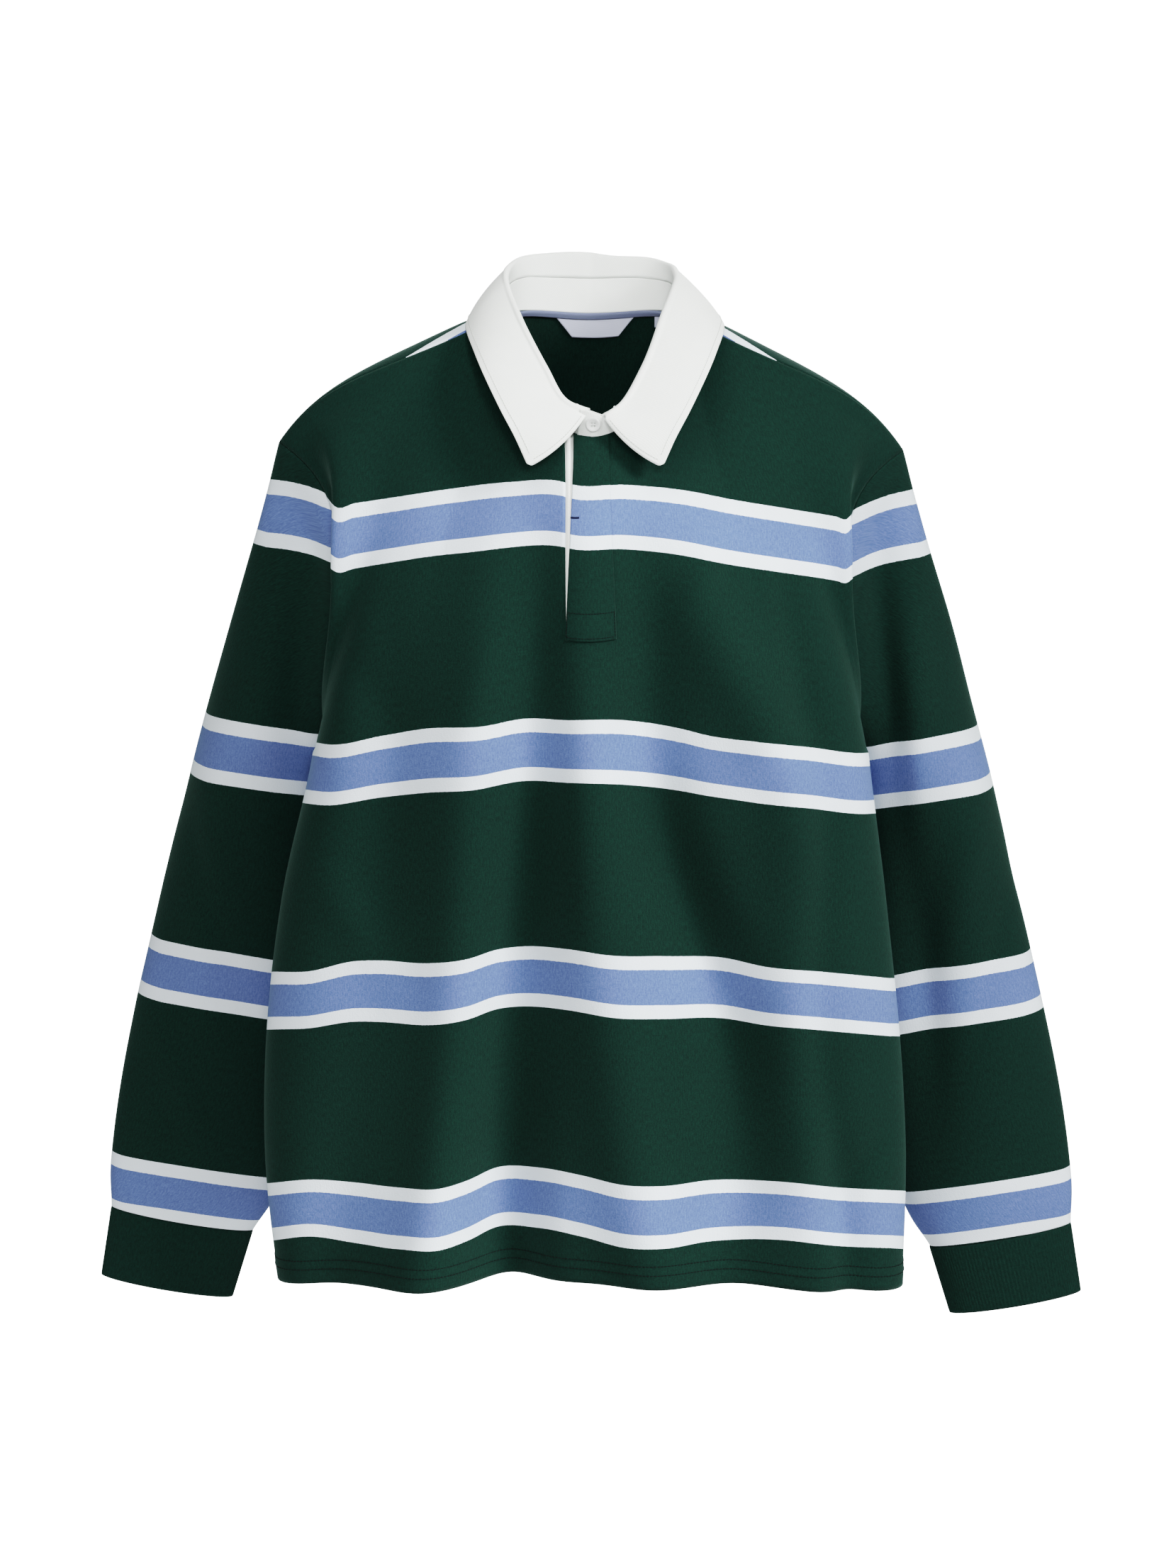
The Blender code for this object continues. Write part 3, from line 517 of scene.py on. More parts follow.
# %% Laying a grid as cloth
def lay_cloth(name, grid, wall, material, heights=None, closed=False, flip=False,
              outward=False, skip=None):
    """Quads (i, j), (i, j+1), (i+1, j+1), (i+1, j); in a closed tube the last column joins
    the first. UV: u is the running length across, less its value at the middle column."""
    rows, columns = grid.shape[:2]
    last = columns if closed else columns - 1
    i, j = (m.ravel() for m in np.meshgrid(np.arange(rows - 1), np.arange(last), indexing="ij"))
    if skip is not None:
        keep = ~skip[i, j]
        i, j = i[keep], j[keep]
    corners = np.stack([np.stack([i, j], -1), np.stack([i, j + 1], -1),
                        np.stack([i + 1, j + 1], -1), np.stack([i + 1, j], -1)], 1)
    if flip:
        corners = corners[:, ::-1]
    around = np.concatenate([grid, grid[:, :1]], axis=1) if closed else grid
    u = lengths(around, axis=1)
    u = u - u[:, u.shape[1] // 2, None]
    v = lengths(grid, axis=0) if heights is None else heights
    v = np.concatenate([v, v[:, :1]], axis=1) if closed else v
    faces = corners[..., 0] * columns + corners[..., 1] % columns
    piece = new_piece(name, grid.reshape(-1, 3), faces.tolist(), material)
    places = np.stack([u, v], -1)[corners[..., 0], corners[..., 1]]
    uv = piece.data.uv_layers.new(name="cloth")
    uv.data.foreach_set("uv", places.astype(np.float32).ravel())
    piece.data.shade_smooth()
    solid = piece.modifiers.new("Wall", "SOLIDIFY")
    solid.thickness = wall
    solid.offset = 1.0 if outward else -1.0
    print(name, len(faces), "quads")
    return piece


# %% Areas, seams and what a piece replaces
def area_of(grid, closed=False):
    """Sum of the quads' areas, each half the length of the cross product of its diagonals."""
    g = np.concatenate([grid, grid[:, :1]], axis=1) if closed else grid
    cross = np.cross(g[1:, 1:] - g[:-1, :-1], g[1:, :-1] - g[:-1, 1:])
    return float(np.linalg.norm(cross, axis=-1).sum() / 2)


def pull_in(grid, edge, distance):
    """Moves one edge of a grid back along its own surface, which leaves the seam's gap."""
    edges = {"left": (np.s_[:, 0], np.s_[:, 1]), "right": (np.s_[:, -1], np.s_[:, -2]),
             "bottom": (np.s_[0], np.s_[1]), "top": (np.s_[-1], np.s_[-2])}
    outer, inner = edges[edge]
    grid[outer] += unit(grid[inner] - grid[outer]) * distance


def finish_piece(piece, node):
    """The piece takes the CAD node's place and rides with the shirt."""
    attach(piece, "root")
    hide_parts(node)


# %% [markdown]
# ## Materials
# Colours are written as sRGB hex and turned linear once. One helper adds a node with its
# settings and links. Base values come from the real finish: dyed cotton is a rough
# dielectric of IOR 1.5 whose loose fibres give a soft sheen, more on brushed jersey than on
# tightly woven twill.


# %% Material helpers
def linear(code):
    """sRGB hex to linear: c/12.92 below 0.04045, else ((c + 0.055)/1.055)^2.4."""
    c = np.array([int(code[k:k + 2], 16) for k in (1, 3, 5)]) / 255
    c = np.where(c <= 0.04045, c / 12.92, ((c + 0.055) / 1.055) ** 2.4)
    return (*(float(v) for v in c), 1.0)


def add(tree, kind, inputs=None, **settings):
    """Adds a node; an input is set to a value, or linked where it is another node's output."""
    node = tree.nodes.new("ShaderNode" + kind)
    for key, value in settings.items():
        setattr(node, key, value)
    for key, value in (inputs or {}).items():
        if isinstance(value, bpy.types.NodeSocket):
            tree.links.new(value, node.inputs[key])
        else:
            node.inputs[key].default_value = value
    return node


def new_finish(name, **shader_values):
    """A material with its own shader and output; the values go straight to the sockets."""
    material = bpy.data.materials.new(name)
    material.use_nodes = True
    shader = material.node_tree.nodes["Principled BSDF"]
    for key, value in shader_values.items():
        shader.inputs[key.replace("_", " ")].default_value = value
    return material, material.node_tree, shader


# %% [markdown]
# ### Heavy cotton jersey
# Single jersey of 20s cotton, brushed a little: vertical wales about 0.9 mm apart, drawn
# 1.3 mm here so that they show at this size. Green and blue are mixed from two tones of the
# yarn, because dye never takes quite evenly. The cloth's height is compared with the bands'
# edges, shifted a little from wale to wale, which gives them their knitted edge.

# %% Heavy cotton jersey
GREEN, GREEN_LIGHT = "#0B2721", "#12372F"
BLUE, BLUE_LIGHT = "#5C6F9C", "#7284B0"
WHITE = "#DEE5EA"
WALE, UNEVEN = 0.0013, 0.0004      # the wales' spacing, and how far a band's edge wanders
GRAIN_LONG = 3                     # the grain is so many times longer than it is wide
WHITE_SHARE, BLUE_SHARE = 0.22, 0.56    # of the band: a white line, the blue, a white line


def jersey(name, striped=True):
    """The fraction of height / PITCH, compared with where white and blue start and end.
    The grain is noise on the UV map, stretched along the wales."""
    finish, tree, shader = new_finish(name, Roughness=0.88, IOR=1.5, Sheen_Weight=0.20,
                                      Sheen_Roughness=0.5, Specular_IOR_Level=0.25)
    shader.inputs["Sheen Tint"].default_value = linear("#9FC4B8")
    uv = add(tree, "UVMap", uv_map="cloth").outputs["UV"]
    stretch = (1 / WALE, 1 / (GRAIN_LONG * WALE), 1)
    wales = add(tree, "Mapping", {"Vector": uv, "Scale": stretch}).outputs["Vector"]
    grain = add(tree, "TexNoise", {"Vector": wales, "Scale": 1.0, "Detail": 2.0}).outputs["Fac"]
    pile = add(tree, "TexNoise", {"Vector": uv, "Scale": 900.0, "Detail": 3.0}).outputs["Fac"]
    mottle = add(tree, "TexNoise", {"Vector": uv, "Scale": 26.0, "Detail": 3.0}).outputs["Fac"]
    tone = add(tree, "Math", {0: grain, 1: pile}, operation="ADD").outputs[0]
    tone = add(tree, "MapRange", {"Value": tone, "From Min": 0.7, "From Max": 1.3}).outputs["Result"]
    green = add(tree, "Mix", {"Factor": tone, "A": linear(GREEN), "B": linear(GREEN_LIGHT)},
                data_type="RGBA").outputs["Result"]
    if striped:
        height = add(tree, "SeparateXYZ", {"Vector": uv}).outputs["Y"]
        course = add(tree, "MapRange", {"Value": grain, "To Min": -UNEVEN,
                                        "To Max": UNEVEN}).outputs["Result"]
        height = add(tree, "Math", {0: height, 1: course}, operation="ADD").outputs[0]
        turns = add(tree, "Math", {0: height, 1: PITCH}, operation="DIVIDE").outputs[0]
        place = add(tree, "Math", {0: turns}, operation="FRACT").outputs[0]
        low = 1 - BAND / PITCH
        edges = [low + (1 - low) * share for share in (0, WHITE_SHARE, WHITE_SHARE + BLUE_SHARE)]
        in_band = add(tree, "Math", {0: place, 1: edges[0]}, operation="GREATER_THAN").outputs[0]
        above_blue = add(tree, "Math", {0: place, 1: edges[1]}, operation="GREATER_THAN").outputs[0]
        below_top = add(tree, "Math", {0: place, 1: edges[2]}, operation="LESS_THAN").outputs[0]
        in_blue = add(tree, "Math", {0: above_blue, 1: below_top}, operation="MULTIPLY").outputs[0]
        blue = add(tree, "Mix", {"Factor": tone, "A": linear(BLUE), "B": linear(BLUE_LIGHT)},
                   data_type="RGBA").outputs["Result"]
        band = add(tree, "Mix", {"Factor": in_blue, "A": linear(WHITE), "B": blue},
                   data_type="RGBA").outputs["Result"]
        colour = add(tree, "Mix", {"Factor": in_band, "A": green, "B": band},
                     data_type="RGBA").outputs["Result"]
    else:
        colour = green
    worn = add(tree, "MapRange", {"Value": mottle, "To Min": 0.94, "To Max": 1.06}).outputs["Result"]
    colour = add(tree, "HueSaturation", {"Color": colour, "Value": worn}).outputs["Color"]
    tree.links.new(colour, shader.inputs["Base Color"])
    bump_node = add(tree, "Bump", {"Height": tone, "Strength": 0.35, "Distance": 0.0003})
    tree.links.new(bump_node.outputs["Normal"], shader.inputs["Normal"])
    return finish


heavy_cotton_jersey = jersey("heavy_cotton_jersey")

# %% [markdown]
# ### Rib, twill, tape, satin, thread and button
# The cuffs are 1x1 cotton rib of the same dye lot. The collar is off-white cotton twill,
# whose fine diagonals are 0.6 mm apart in life and 1.2 mm here. The neck tape is blue-grey
# herringbone, drawn as plain diagonals, because it is too narrow for more. The labels are
# woven satin, and the button is translucent cast polyester.

# %% Other finishes
TWILL_LINE, TAPE_LINE, SATIN_LINE = 0.0012, 0.0011, 0.0009
WAVE_REPEAT = 0.314                # the wave texture repeats each pi/10 of its own length
THREAD_PAINTED_GLINT = 0.02                # share of painted highlight in a thread: white flecks for loose fibres catching the light


def woven(name, dark, light, line, turn, roughness, sheen):
    """Lines of a weave: a wave on the turned UV, its repeats one line apart, times a noise
    for the slubs in the yarn."""
    finish, tree, shader = new_finish(name, Roughness=roughness, IOR=1.5, Sheen_Weight=sheen,
                                      Specular_IOR_Level=0.3)
    uv = add(tree, "UVMap", uv_map="cloth").outputs["UV"]
    turned = add(tree, "Mapping", {"Vector": uv, "Rotation": (0, 0, np.radians(turn))}).outputs["Vector"]
    lines = add(tree, "TexWave", {"Vector": turned, "Scale": WAVE_REPEAT / line, "Distortion": 1.5,
                                  "Detail": 1.0, "Detail Scale": 2.0}).outputs["Fac"]
    slub = add(tree, "TexNoise", {"Vector": uv, "Scale": 60.0, "Detail": 4.0}).outputs["Fac"]
    tone = add(tree, "Math", {0: lines, 1: slub}, operation="MULTIPLY").outputs[0]
    colour = add(tree, "Mix", {"Factor": tone, "A": linear(dark), "B": linear(light)},
                 data_type="RGBA").outputs["Result"]
    tree.links.new(colour, shader.inputs["Base Color"])
    weave = add(tree, "Bump", {"Height": tone, "Strength": 0.3, "Distance": 0.0002})
    tree.links.new(weave.outputs["Normal"], shader.inputs["Normal"])
    return finish


cotton_twill = woven("cotton_twill", "#E9ECE8", "#F5F7F4", TWILL_LINE, 35, 0.85, 0.1)
herringbone_tape = woven("herringbone_cotton_tape", "#747C94", "#8890A8", TAPE_LINE, 45, 0.8, 0.1)
satin_label = woven("woven_satin_label", "#D9DEF2", "#ECEFFA", SATIN_LINE, 90, 0.45, 0.1)
one_by_one_rib = jersey("one_by_one_cotton_rib", striped=False)


# %% Thread and button
def thread(name, code):
    """Spun polyester sewing thread: its colour, with a painted highlight of white flecks where the
    fine noise on Object coordinates is high, standing in for loose fibres that catch the light."""
    finish, tree, shader = new_finish(name, Roughness=0.85, IOR=1.5, Specular_IOR_Level=0.2)
    place = add(tree, "TexCoord").outputs["Object"]
    # Painted highlight: white flecks where loose fibres would catch the light.
    glint_noise = add(tree, "TexNoise", {"Vector": place, "Scale": 2500.0, "Detail": 1.0}).outputs["Fac"]
    light = add(tree, "Mix", {"Factor": glint_noise, "A": linear(code), "B": linear("#FFFFFF")},
                data_type="RGBA").outputs["Result"]
    colour = add(tree, "Mix", {"Factor": THREAD_PAINTED_GLINT, "A": linear(code), "B": light},
                 data_type="RGBA").outputs["Result"]
    tree.links.new(colour, shader.inputs["Base Color"])
    return finish


green_thread = thread("dark_green_polyester_thread", "#04100E")
white_thread = thread("off_white_polyester_thread", "#C2C4BF")
navy_thread = thread("navy_polyester_thread", "#0F1836")

button_resin, resin_tree, resin_shader = new_finish(
    "cast_polyester_button", Roughness=0.28, IOR=1.55, Transmission_Weight=0.25)
resin_place = add(resin_tree, "TexCoord").outputs["Object"]
resin_cloud = add(resin_tree, "TexNoise", {"Vector": resin_place, "Scale": 300.0}).outputs["Fac"]
resin_mix = add(resin_tree, "Mix", {"Factor": resin_cloud, "A": linear("#E2E5E2"),
                                    "B": linear("#F0F2F0")}, data_type="RGBA")
resin_tree.links.new(resin_mix.outputs["Result"], resin_shader.inputs["Base Color"])

# %% [markdown]
# ## Front
# One panel, slit from the neckline for the placket. The grid has an extra column: its left
# half ends at the slit's left side, which moves away from the placket towards the neck, and
# the quads that would bridge the slit are left out. The neckline, shoulders, armholes and
# sides stop a third of a millimetre short, so that each seam is a real gap. The hem is turned
# under and sewn, which shows as a shallow step with a groove where the needle pulls it in.

# %% Front
def slit_share(t):
    """Left edge of the slit: the placket's edge plus a width that grows above its foot."""
    open_share = np.clip((t - SLIT_FOOT) / (1 - SLIT_FOOT), 0, 1)
    width = SLIT_FOOT_WIDTH + (SLIT_TOP_WIDTH - SLIT_FOOT_WIDTH) * open_share
    return PLACKET_SHARE + width / HALF_CHEST


def repeat(columns):
    """The same shares in every row above the underarm."""
    return np.tile(columns, (HIGH_ROWS + 1, 1))


HEM_SEWN, HEM_STEP, STEP_OVER = 0.0190, 0.0007, 0.002
HEM_GROOVE, GROOVE_HALF = 0.0006, 0.0016


def hem_roll(grid, panel):
    """The turned hem is twice as thick: a step outward below the stitching, grooved at it."""
    up = lengths(grid, axis=0) - HEM_SEWN
    lift = HEM_STEP * (1 - smooth((up - STEP_OVER) / STEP_OVER)) - HEM_GROOVE * bump(up, GROOVE_HALF)
    grid += lift[..., None] * facing(grid, panel == "back")


def sewn(shape, panel):
    """The panel with its seams' gaps at both sides and the top, and its hem turned under."""
    grid = shape.copy()
    for edge in ("left", "right", "top"):
        pull_in(grid, edge, SEAM)
    hem_roll(grid, panel)
    return grid


LEFT, MIDDLE, RIGHT = 84, 6, 91    # columns left of the slit, from it to the centre, and right
SLIT_ROW = LOW_ROWS + round(SLIT_FOOT * HIGH_ROWS)
from_slit = np.linspace(1, 0, LEFT)
slit_low = slit_share(0.0)
slit_high = slit_share(np.linspace(0, 1, HIGH_ROWS + 1))[:, None]
left_low = slit_low + (1 - slit_low) * from_slit
left_high = slit_high + (1 - slit_high) * from_slit
middle = np.linspace(PLACKET_SHARE, 0, MIDDLE + 1)[:-1]
right = np.linspace(0, 1, RIGHT)
front_plain = np.concatenate([
    half_panel("front", -1, left_low, left_high),
    half_panel("front", -1, middle, repeat(middle)),
    half_panel("front", 1, right, repeat(right))], axis=1)
front_shape = add_folds(front_plain, "front", np.concatenate([-left_low, -middle, right]))
front_grid = sewn(front_shape, "front")
slit_gap = np.zeros(front_grid.shape[:2], bool)
slit_gap[SLIT_ROW:, LEFT - 1] = True
front = lay_cloth("polo_front", front_grid, WALL, heavy_cotton_jersey,
                  front_heights(front_shape), skip=slit_gap)
finish_piece(front, "front")

# %% [markdown]
# ## Back
# The back has no slit. Its bands meet the front's at both side seams, and rise a little
# towards the middle. Above the underarm the cloth's height grows as the level does. Near the
# top it grows with the length of the cloth itself, which curls forward over the shoulders,
# so one more band lies across them and comes over the seams beside the collar.

# %% Back
BACK_HALF, SPREAD_FROM, CURL_SOON = 88, 0.52, 4
left_half, right_half = np.linspace(1, 0, BACK_HALF + 1)[:-1], np.linspace(0, 1, BACK_HALF + 1)
back_columns = np.concatenate([-left_half, right_half])
back_plain = np.concatenate([half_panel("back", -1, left_half, repeat(left_half)),
                             half_panel("back", 1, right_half, repeat(right_half))], axis=1)
back_shape = add_folds(back_plain, "back", back_columns)
back_grid = sewn(back_shape, "back")


def back_heights(grid, columns):
    """Height of the front's cloth at the two side seams, mixed across, less BACK_RISE in the
    middle, where the bands lie so much higher. Above the underarm it grows by level, then, as
    late goes from 0 to 1, by the cloth's own length, and takes up the rest, so that BACK_TOP's
    heights lie on the edge."""
    seams = front_heights(front_shape[:, (0, -1)])
    side_z = front_shape[:LOW_ROWS + 1, (0, -1), 2]
    low_z = grid[:LOW_ROWS + 1, :, 2]
    on_left, on_right = (
        np.interp(low_z.ravel(), side_z[:, k], seams[:LOW_ROWS + 1, k]).reshape(low_z.shape)
        for k in (0, 1))
    share = (columns + 1) / 2
    height = on_left * (1 - share) + on_right * share - BACK_RISE * (1 - columns ** 2)
    top = through(np.abs(columns), BACK_TOP["share"], BACK_TOP["height"])
    up = lengths(grid[LOW_ROWS:], axis=0)
    level = grid[LOW_ROWS:, :, 2] - grid[LOW_ROWS, :, 2]
    late = smooth((up / up[-1] - SPREAD_FROM) / (1 - SPREAD_FROM))
    curl = np.diff(up - level, axis=0) * smooth(late[1:] * CURL_SOON)
    grown = level + np.concatenate([0 * curl[:1], np.cumsum(curl, axis=0)])
    rest = top - height[-1] - grown[-1]
    print("the upper back takes up", rest.min().round(3), "to", rest.max().round(3), "m")
    return np.concatenate([height[:-1], height[-1] + grown + rest * late])


back = lay_cloth("polo_back", back_grid, WALL, heavy_cotton_jersey,
                 back_heights(back_shape, back_columns), flip=True)
finish_piece(back, "back")

# %% [markdown]
# ## Sleeves and cuffs
# Each sleeve is one piece with one seam under the arm. It starts on the armhole itself, so
# cap and body share their edge, and narrows through five tilted oval sections. Carrying the
# sections on one curve keeps the elbow soft. A hanging sleeve is hollow along its inner side,
# next to the armpit, so the first crease of each side is a broad one that goes inwards.

# %% Sleeve shape
SLEEVE = {
    "x":     (0.2490, 0.2690, 0.2955, 0.3145, 0.3256),
    "y":     (0.0520, 0.0640, 0.0640, 0.0580, 0.0540),
    "z":     (-0.3240, -0.449, -0.585, -0.668, -0.707),
    "wide":  (0.0565, 0.0685, 0.0740, 0.0680, 0.0570),
    "deep":  (0.0590, 0.0480, 0.0340, 0.0245, 0.0160),
    "tilt":  (22.0, 13.0, 12.0, 11.0, 10.0),
}
CAP_SHARE, CREASE_FREE_ROWS = 0.3, 22
LEFT_SLEEVE_SHIFT = (-0.0005, 0.0, 0.0135)    # as if on the right: less x is nearer the body
CUFF_LENGTH = 0.057
CUFF_END = {"wide": 0.0530, "deep": 0.0150}
SLEEVE_ROWS, SLEEVE_COLUMNS = 190, 112
SLEEVE_CREASES = (
    # whose, x and z of one end, x and z of the other, half_width, height
    (1, 0.212, -0.110, 0.224, -0.330, 0.026, -0.0200),
    (1, 0.236, -0.300, 0.262, -0.640, 0.020, -0.0080),
    (1, 0.238, -0.130, 0.250, -0.390, 0.014, 0.0050),
    (-1, -0.208, -0.110, -0.222, -0.330, 0.026, -0.0180),
    (1, 0.262, -0.330, 0.276, -0.620, 0.022, -0.0050),
    (1, 0.300, -0.330, 0.280, -0.480, 0.014, 0.0030),
    (1, 0.262, -0.100, 0.285, -0.260, 0.010, 0.0020),
    (1, 0.330, -0.400, 0.300, -0.560, 0.012, -0.0025),
    (-1, -0.285, -0.300, -0.300, -0.520, 0.016, 0.0030),
    (-1, -0.310, -0.360, -0.280, -0.500, 0.012, -0.0025),
    (-1, -0.345, -0.520, -0.300, -0.640, 0.014, 0.0022),
)


def oval(degrees, x, y, z, wide, deep, tilt):
    """Ellipse of half sizes wide and deep, leaning by tilt in the X-Z plane."""
    a, lean = np.radians(degrees), np.radians(tilt)
    across = np.array([np.cos(lean), 0.0, np.sin(lean)])
    return (np.array([x, y, z]) + wide * np.cos(a)[:, None] * across
            + deep * np.sin(a)[:, None] * np.array([0.0, -1.0, 0.0]))


def sleeve_grid(side):
    """Sections carried on one cubic: the armhole, the cap, then the table's ovals."""
    turns = np.arange(SLEEVE_COLUMNS) * 360 / SLEEVE_COLUMNS
    hole = armhole(turns, side) * (side, 1, 1)
    rings = [oval(turns, *values) for values in zip(*SLEEVE.values())]
    cap = hole + (rings[0] - hole) * CAP_SHARE
    rings = np.array([hole, cap] + rings)
    at = np.linspace(0, len(rings) - 1, SLEEVE_ROWS)
    tube = through(at, np.arange(len(rings)), rings.reshape(len(rings), -1)).reshape(len(at), -1, 3)
    if side < 0:
        tube += np.clip((at - 1) / 2, 0, 1)[:, None, None] * LEFT_SLEEVE_SHIFT
    return tube * (side, 1, 1)


def add_creases(tube, side):
    """Bell-shaped creases, seen from the front, along the tube's level outward direction.
    They fade in below the armhole's seam."""
    out = crease_heights(tube, SLEEVE_CREASES, side)
    out *= smooth(np.arange(len(tube)) / CREASE_FREE_ROWS)[:, None]
    centre = tube.mean(axis=1, keepdims=True)
    level = unit((tube - centre) * (1, 1, 0))
    return tube + out[..., None] * level


# %% Sleeves
def make_sleeve(side):
    """One sleeve, with its seam's gap at the armhole and at the cuff."""
    tube = add_creases(sleeve_grid(side), side)
    shape = tube.copy()
    pull_in(tube, "bottom", SEAM)
    pull_in(tube, "top", SEAM)
    name = SIDES[side]
    sleeve = lay_cloth("polo_sleeve_" + name, tube, WALL, heavy_cotton_jersey,
                       sleeve_heights(shape, side), closed=True, flip=side < 0)
    finish_piece(sleeve, "sleeve_" + name)


for side in SIDES:
    make_sleeve(side)

# %% [markdown]
# The cuff is a 1x1 rib: a knit and a purl wale in turn, so its surface is a row of small
# round ridges, 2 mm apart. They are modelled, because a cuff's edge shows them.

# %% Cuffs
RIBS, POINTS_PER_RIB, CUFF_ROWS = 112, 6, 26
RIB_HEIGHT = 0.00017
CUFF_LEAN = 0.06                   # radians more than the sleeve's own end leans
CUFF_FROM, RIBS_FULL = 0.006, 0.05  # shares of the cuff: the seam's gap, where ribs are full
MOUTH_FADE, MOUTH_LEFT = 0.04, 0.3  # ribs grow lower over the last share, not down to nothing


def make_cuff(side):
    """Ovals mixed from the sleeve's end to the mouth; ribs are a cosine round the tube."""
    turns = np.arange(RIBS * POINTS_PER_RIB) * 360 / (RIBS * POINTS_PER_RIB)
    top = oval(turns, *(values[-1] for values in SLEEVE.values()))
    lean = np.radians(SLEEVE["tilt"][-1]) + CUFF_LEAN
    down = np.array([np.sin(lean), 0.0, -np.cos(lean)])
    centre = np.array([SLEEVE[axis][-1] for axis in "xyz"]) + down * CUFF_LENGTH
    mouth = oval(turns, *centre, CUFF_END["wide"], CUFF_END["deep"], SLEEVE["tilt"][-1])
    share = np.linspace(CUFF_FROM, 1, CUFF_ROWS)[:, None]
    tube = top + (mouth - top) * share[..., None]
    out = unit((tube - tube.mean(axis=1, keepdims=True)) * (1, 1, 0))
    fade = smooth(share / RIBS_FULL) * smooth((1 - share) / MOUTH_FADE + MOUTH_LEFT)
    tube = tube + out * (RIB_HEIGHT * np.cos(np.radians(turns) * RIBS) * fade)[..., None]
    tube = tube + LEFT_SLEEVE_SHIFT if side < 0 else tube
    tube = tube * (side, 1, 1)
    name = SIDES[side]
    cuff = lay_cloth("polo_cuff_" + name, tube, WALL, one_by_one_rib, closed=True, flip=side < 0)
    finish_piece(cuff, "cuff_" + name)
    print(cuff.name, "area", round(area_of(tube, closed=True), 4))


for side in SIDES:
    make_cuff(side)

# %% [markdown]
# ## Placket
# The overlap is a folded strip laid on the right front, from the neck to below the slit.
# The underlap behind the slit carries a white twill facing, which shows as a thin wedge.
# Both are cut from the front's own grid, moved out or in by their gaps.

# %% Placket
def refine(grid, rows, columns):
    """The same surface on a finer grid: cubic up it, then cubic across it."""
    n, m = grid.shape[:2]
    up = through(np.linspace(0, n - 1, rows), np.arange(n), grid.reshape(n, -1)).reshape(rows, m, 3)
    across = np.moveaxis(up, 1, 0).reshape(m, -1)
    fine = through(np.linspace(0, m - 1, columns), np.arange(m), across).reshape(columns, rows, 3)
    return np.moveaxis(fine, 0, 1)


PLACKET_FOOT = 0.36                # its lower end, as a share of the way up from the underarm
first = LOW_ROWS + round(PLACKET_FOOT * HIGH_ROWS)
last_column = LEFT + MIDDLE + int(np.argmin(np.abs(right - PLACKET_SHARE)))
out = facing(front_shape)
strip = refine((front_shape + out * SEAM)[first:, LEFT:last_column + 1], rows=150, columns=36)
pull_in(strip, "top", 2 * SEAM)
placket = lay_cloth("polo_placket", strip, TRIM, heavy_cotton_jersey, front_heights(strip),
                    outward=True)
finish_piece(placket, "placket")

# The underlap reaches past the slit, and swells forward into it by a bell of this height.
UNDERLAP_PAST_SLIT, UNDERLAP_SWELL, SWELL_HALF = 0.012, 0.0028, 0.0035
under = (front_shape - out * (WALL + 2 * SEAM))[first:, LEFT - 1:last_column]
beyond = under[:, :1] + unit(under[:, :1] - under[:, 1:2]) * UNDERLAP_PAST_SLIT
under = refine(np.concatenate([beyond, under], axis=1), rows=120, columns=60)
half_slit = (SLIT_TOP_WIDTH + SLIT_FOOT_WIDTH) / 4
from_gap = lengths(under, axis=1) - (UNDERLAP_PAST_SLIT + half_slit)
under += (UNDERLAP_SWELL * bump(from_gap, SWELL_HALF))[..., None] * facing(under)
underlap = lay_cloth("polo_placket_underlap", under, TRIM, cotton_twill)
finish_piece(underlap, "placket_underlap")
print("placket area", round(area_of(strip), 5), "underlap", round(area_of(under), 5))

# %% [markdown]
# ## Collar
# A stand and a fall, joined at the roll. Four lines shape them: the neck seam, the top of
# the stand, the fold, and the outer edge of the fall. Each runs from the centre front round
# to the centre back, and the rows between them are straight in the stand, a half circle
# at the roll, and slightly bowed in the fall, as starched twill lies.

# %% Collar lines
COLLAR = {
    "share":  (0.0, 0.10, 0.22, 0.42, 0.64, 0.84, 1.0),
    "fold_x": (0.001, 0.017, 0.0305, 0.0500, 0.0605, 0.0475, 0.000),
    "fold_y": (-0.092, -0.087, -0.074, -0.044, 0.006, 0.050, 0.062),
    "fold_z": (-0.0425, -0.0360, -0.0140, 0.0220, 0.0510, 0.0640, 0.0660),
    "edge_x": (0.0455, 0.0545, 0.0665, 0.0850, 0.0925, 0.0720, 0.0000),
    "edge_y": (-0.106, -0.103, -0.093, -0.060, -0.004, 0.060, 0.083),
    "edge_z": (-0.0850, -0.0650, -0.0430, -0.0060, 0.0160, 0.0130, 0.0060),
    # what the viewer's right half adds to x, and to the fold's z
    "fold_shift": (0.007, 0.004, 0.0045, -0.0005, 0.000, 0.000, 0.000),
    "edge_shift": (0.006, 0.006, 0.0060, 0.0060, 0.005, 0.002, 0.000),
    "fold_drop": (-0.0045, -0.0015, 0.000, 0.000, 0.000, -0.003, 0.000),
}
STAND_HEIGHT, ROLL, FALL_BOW, EDGE_BOW, UNDER_END = 0.027, 0.0026, 0.003, 0.004, 0.0032
# The stand keeps below the fold: at most this share of the way, and less, away from the front.
STAND_MOST, STAND_LESS, LESS_OVER = 0.90, 0.28, 0.14
TIP_REACH, TIP_ROUND, BACK_WAVE = 0.0045, 0.0022, 0.0010
COLLAR_COLUMNS = 120               # in one half


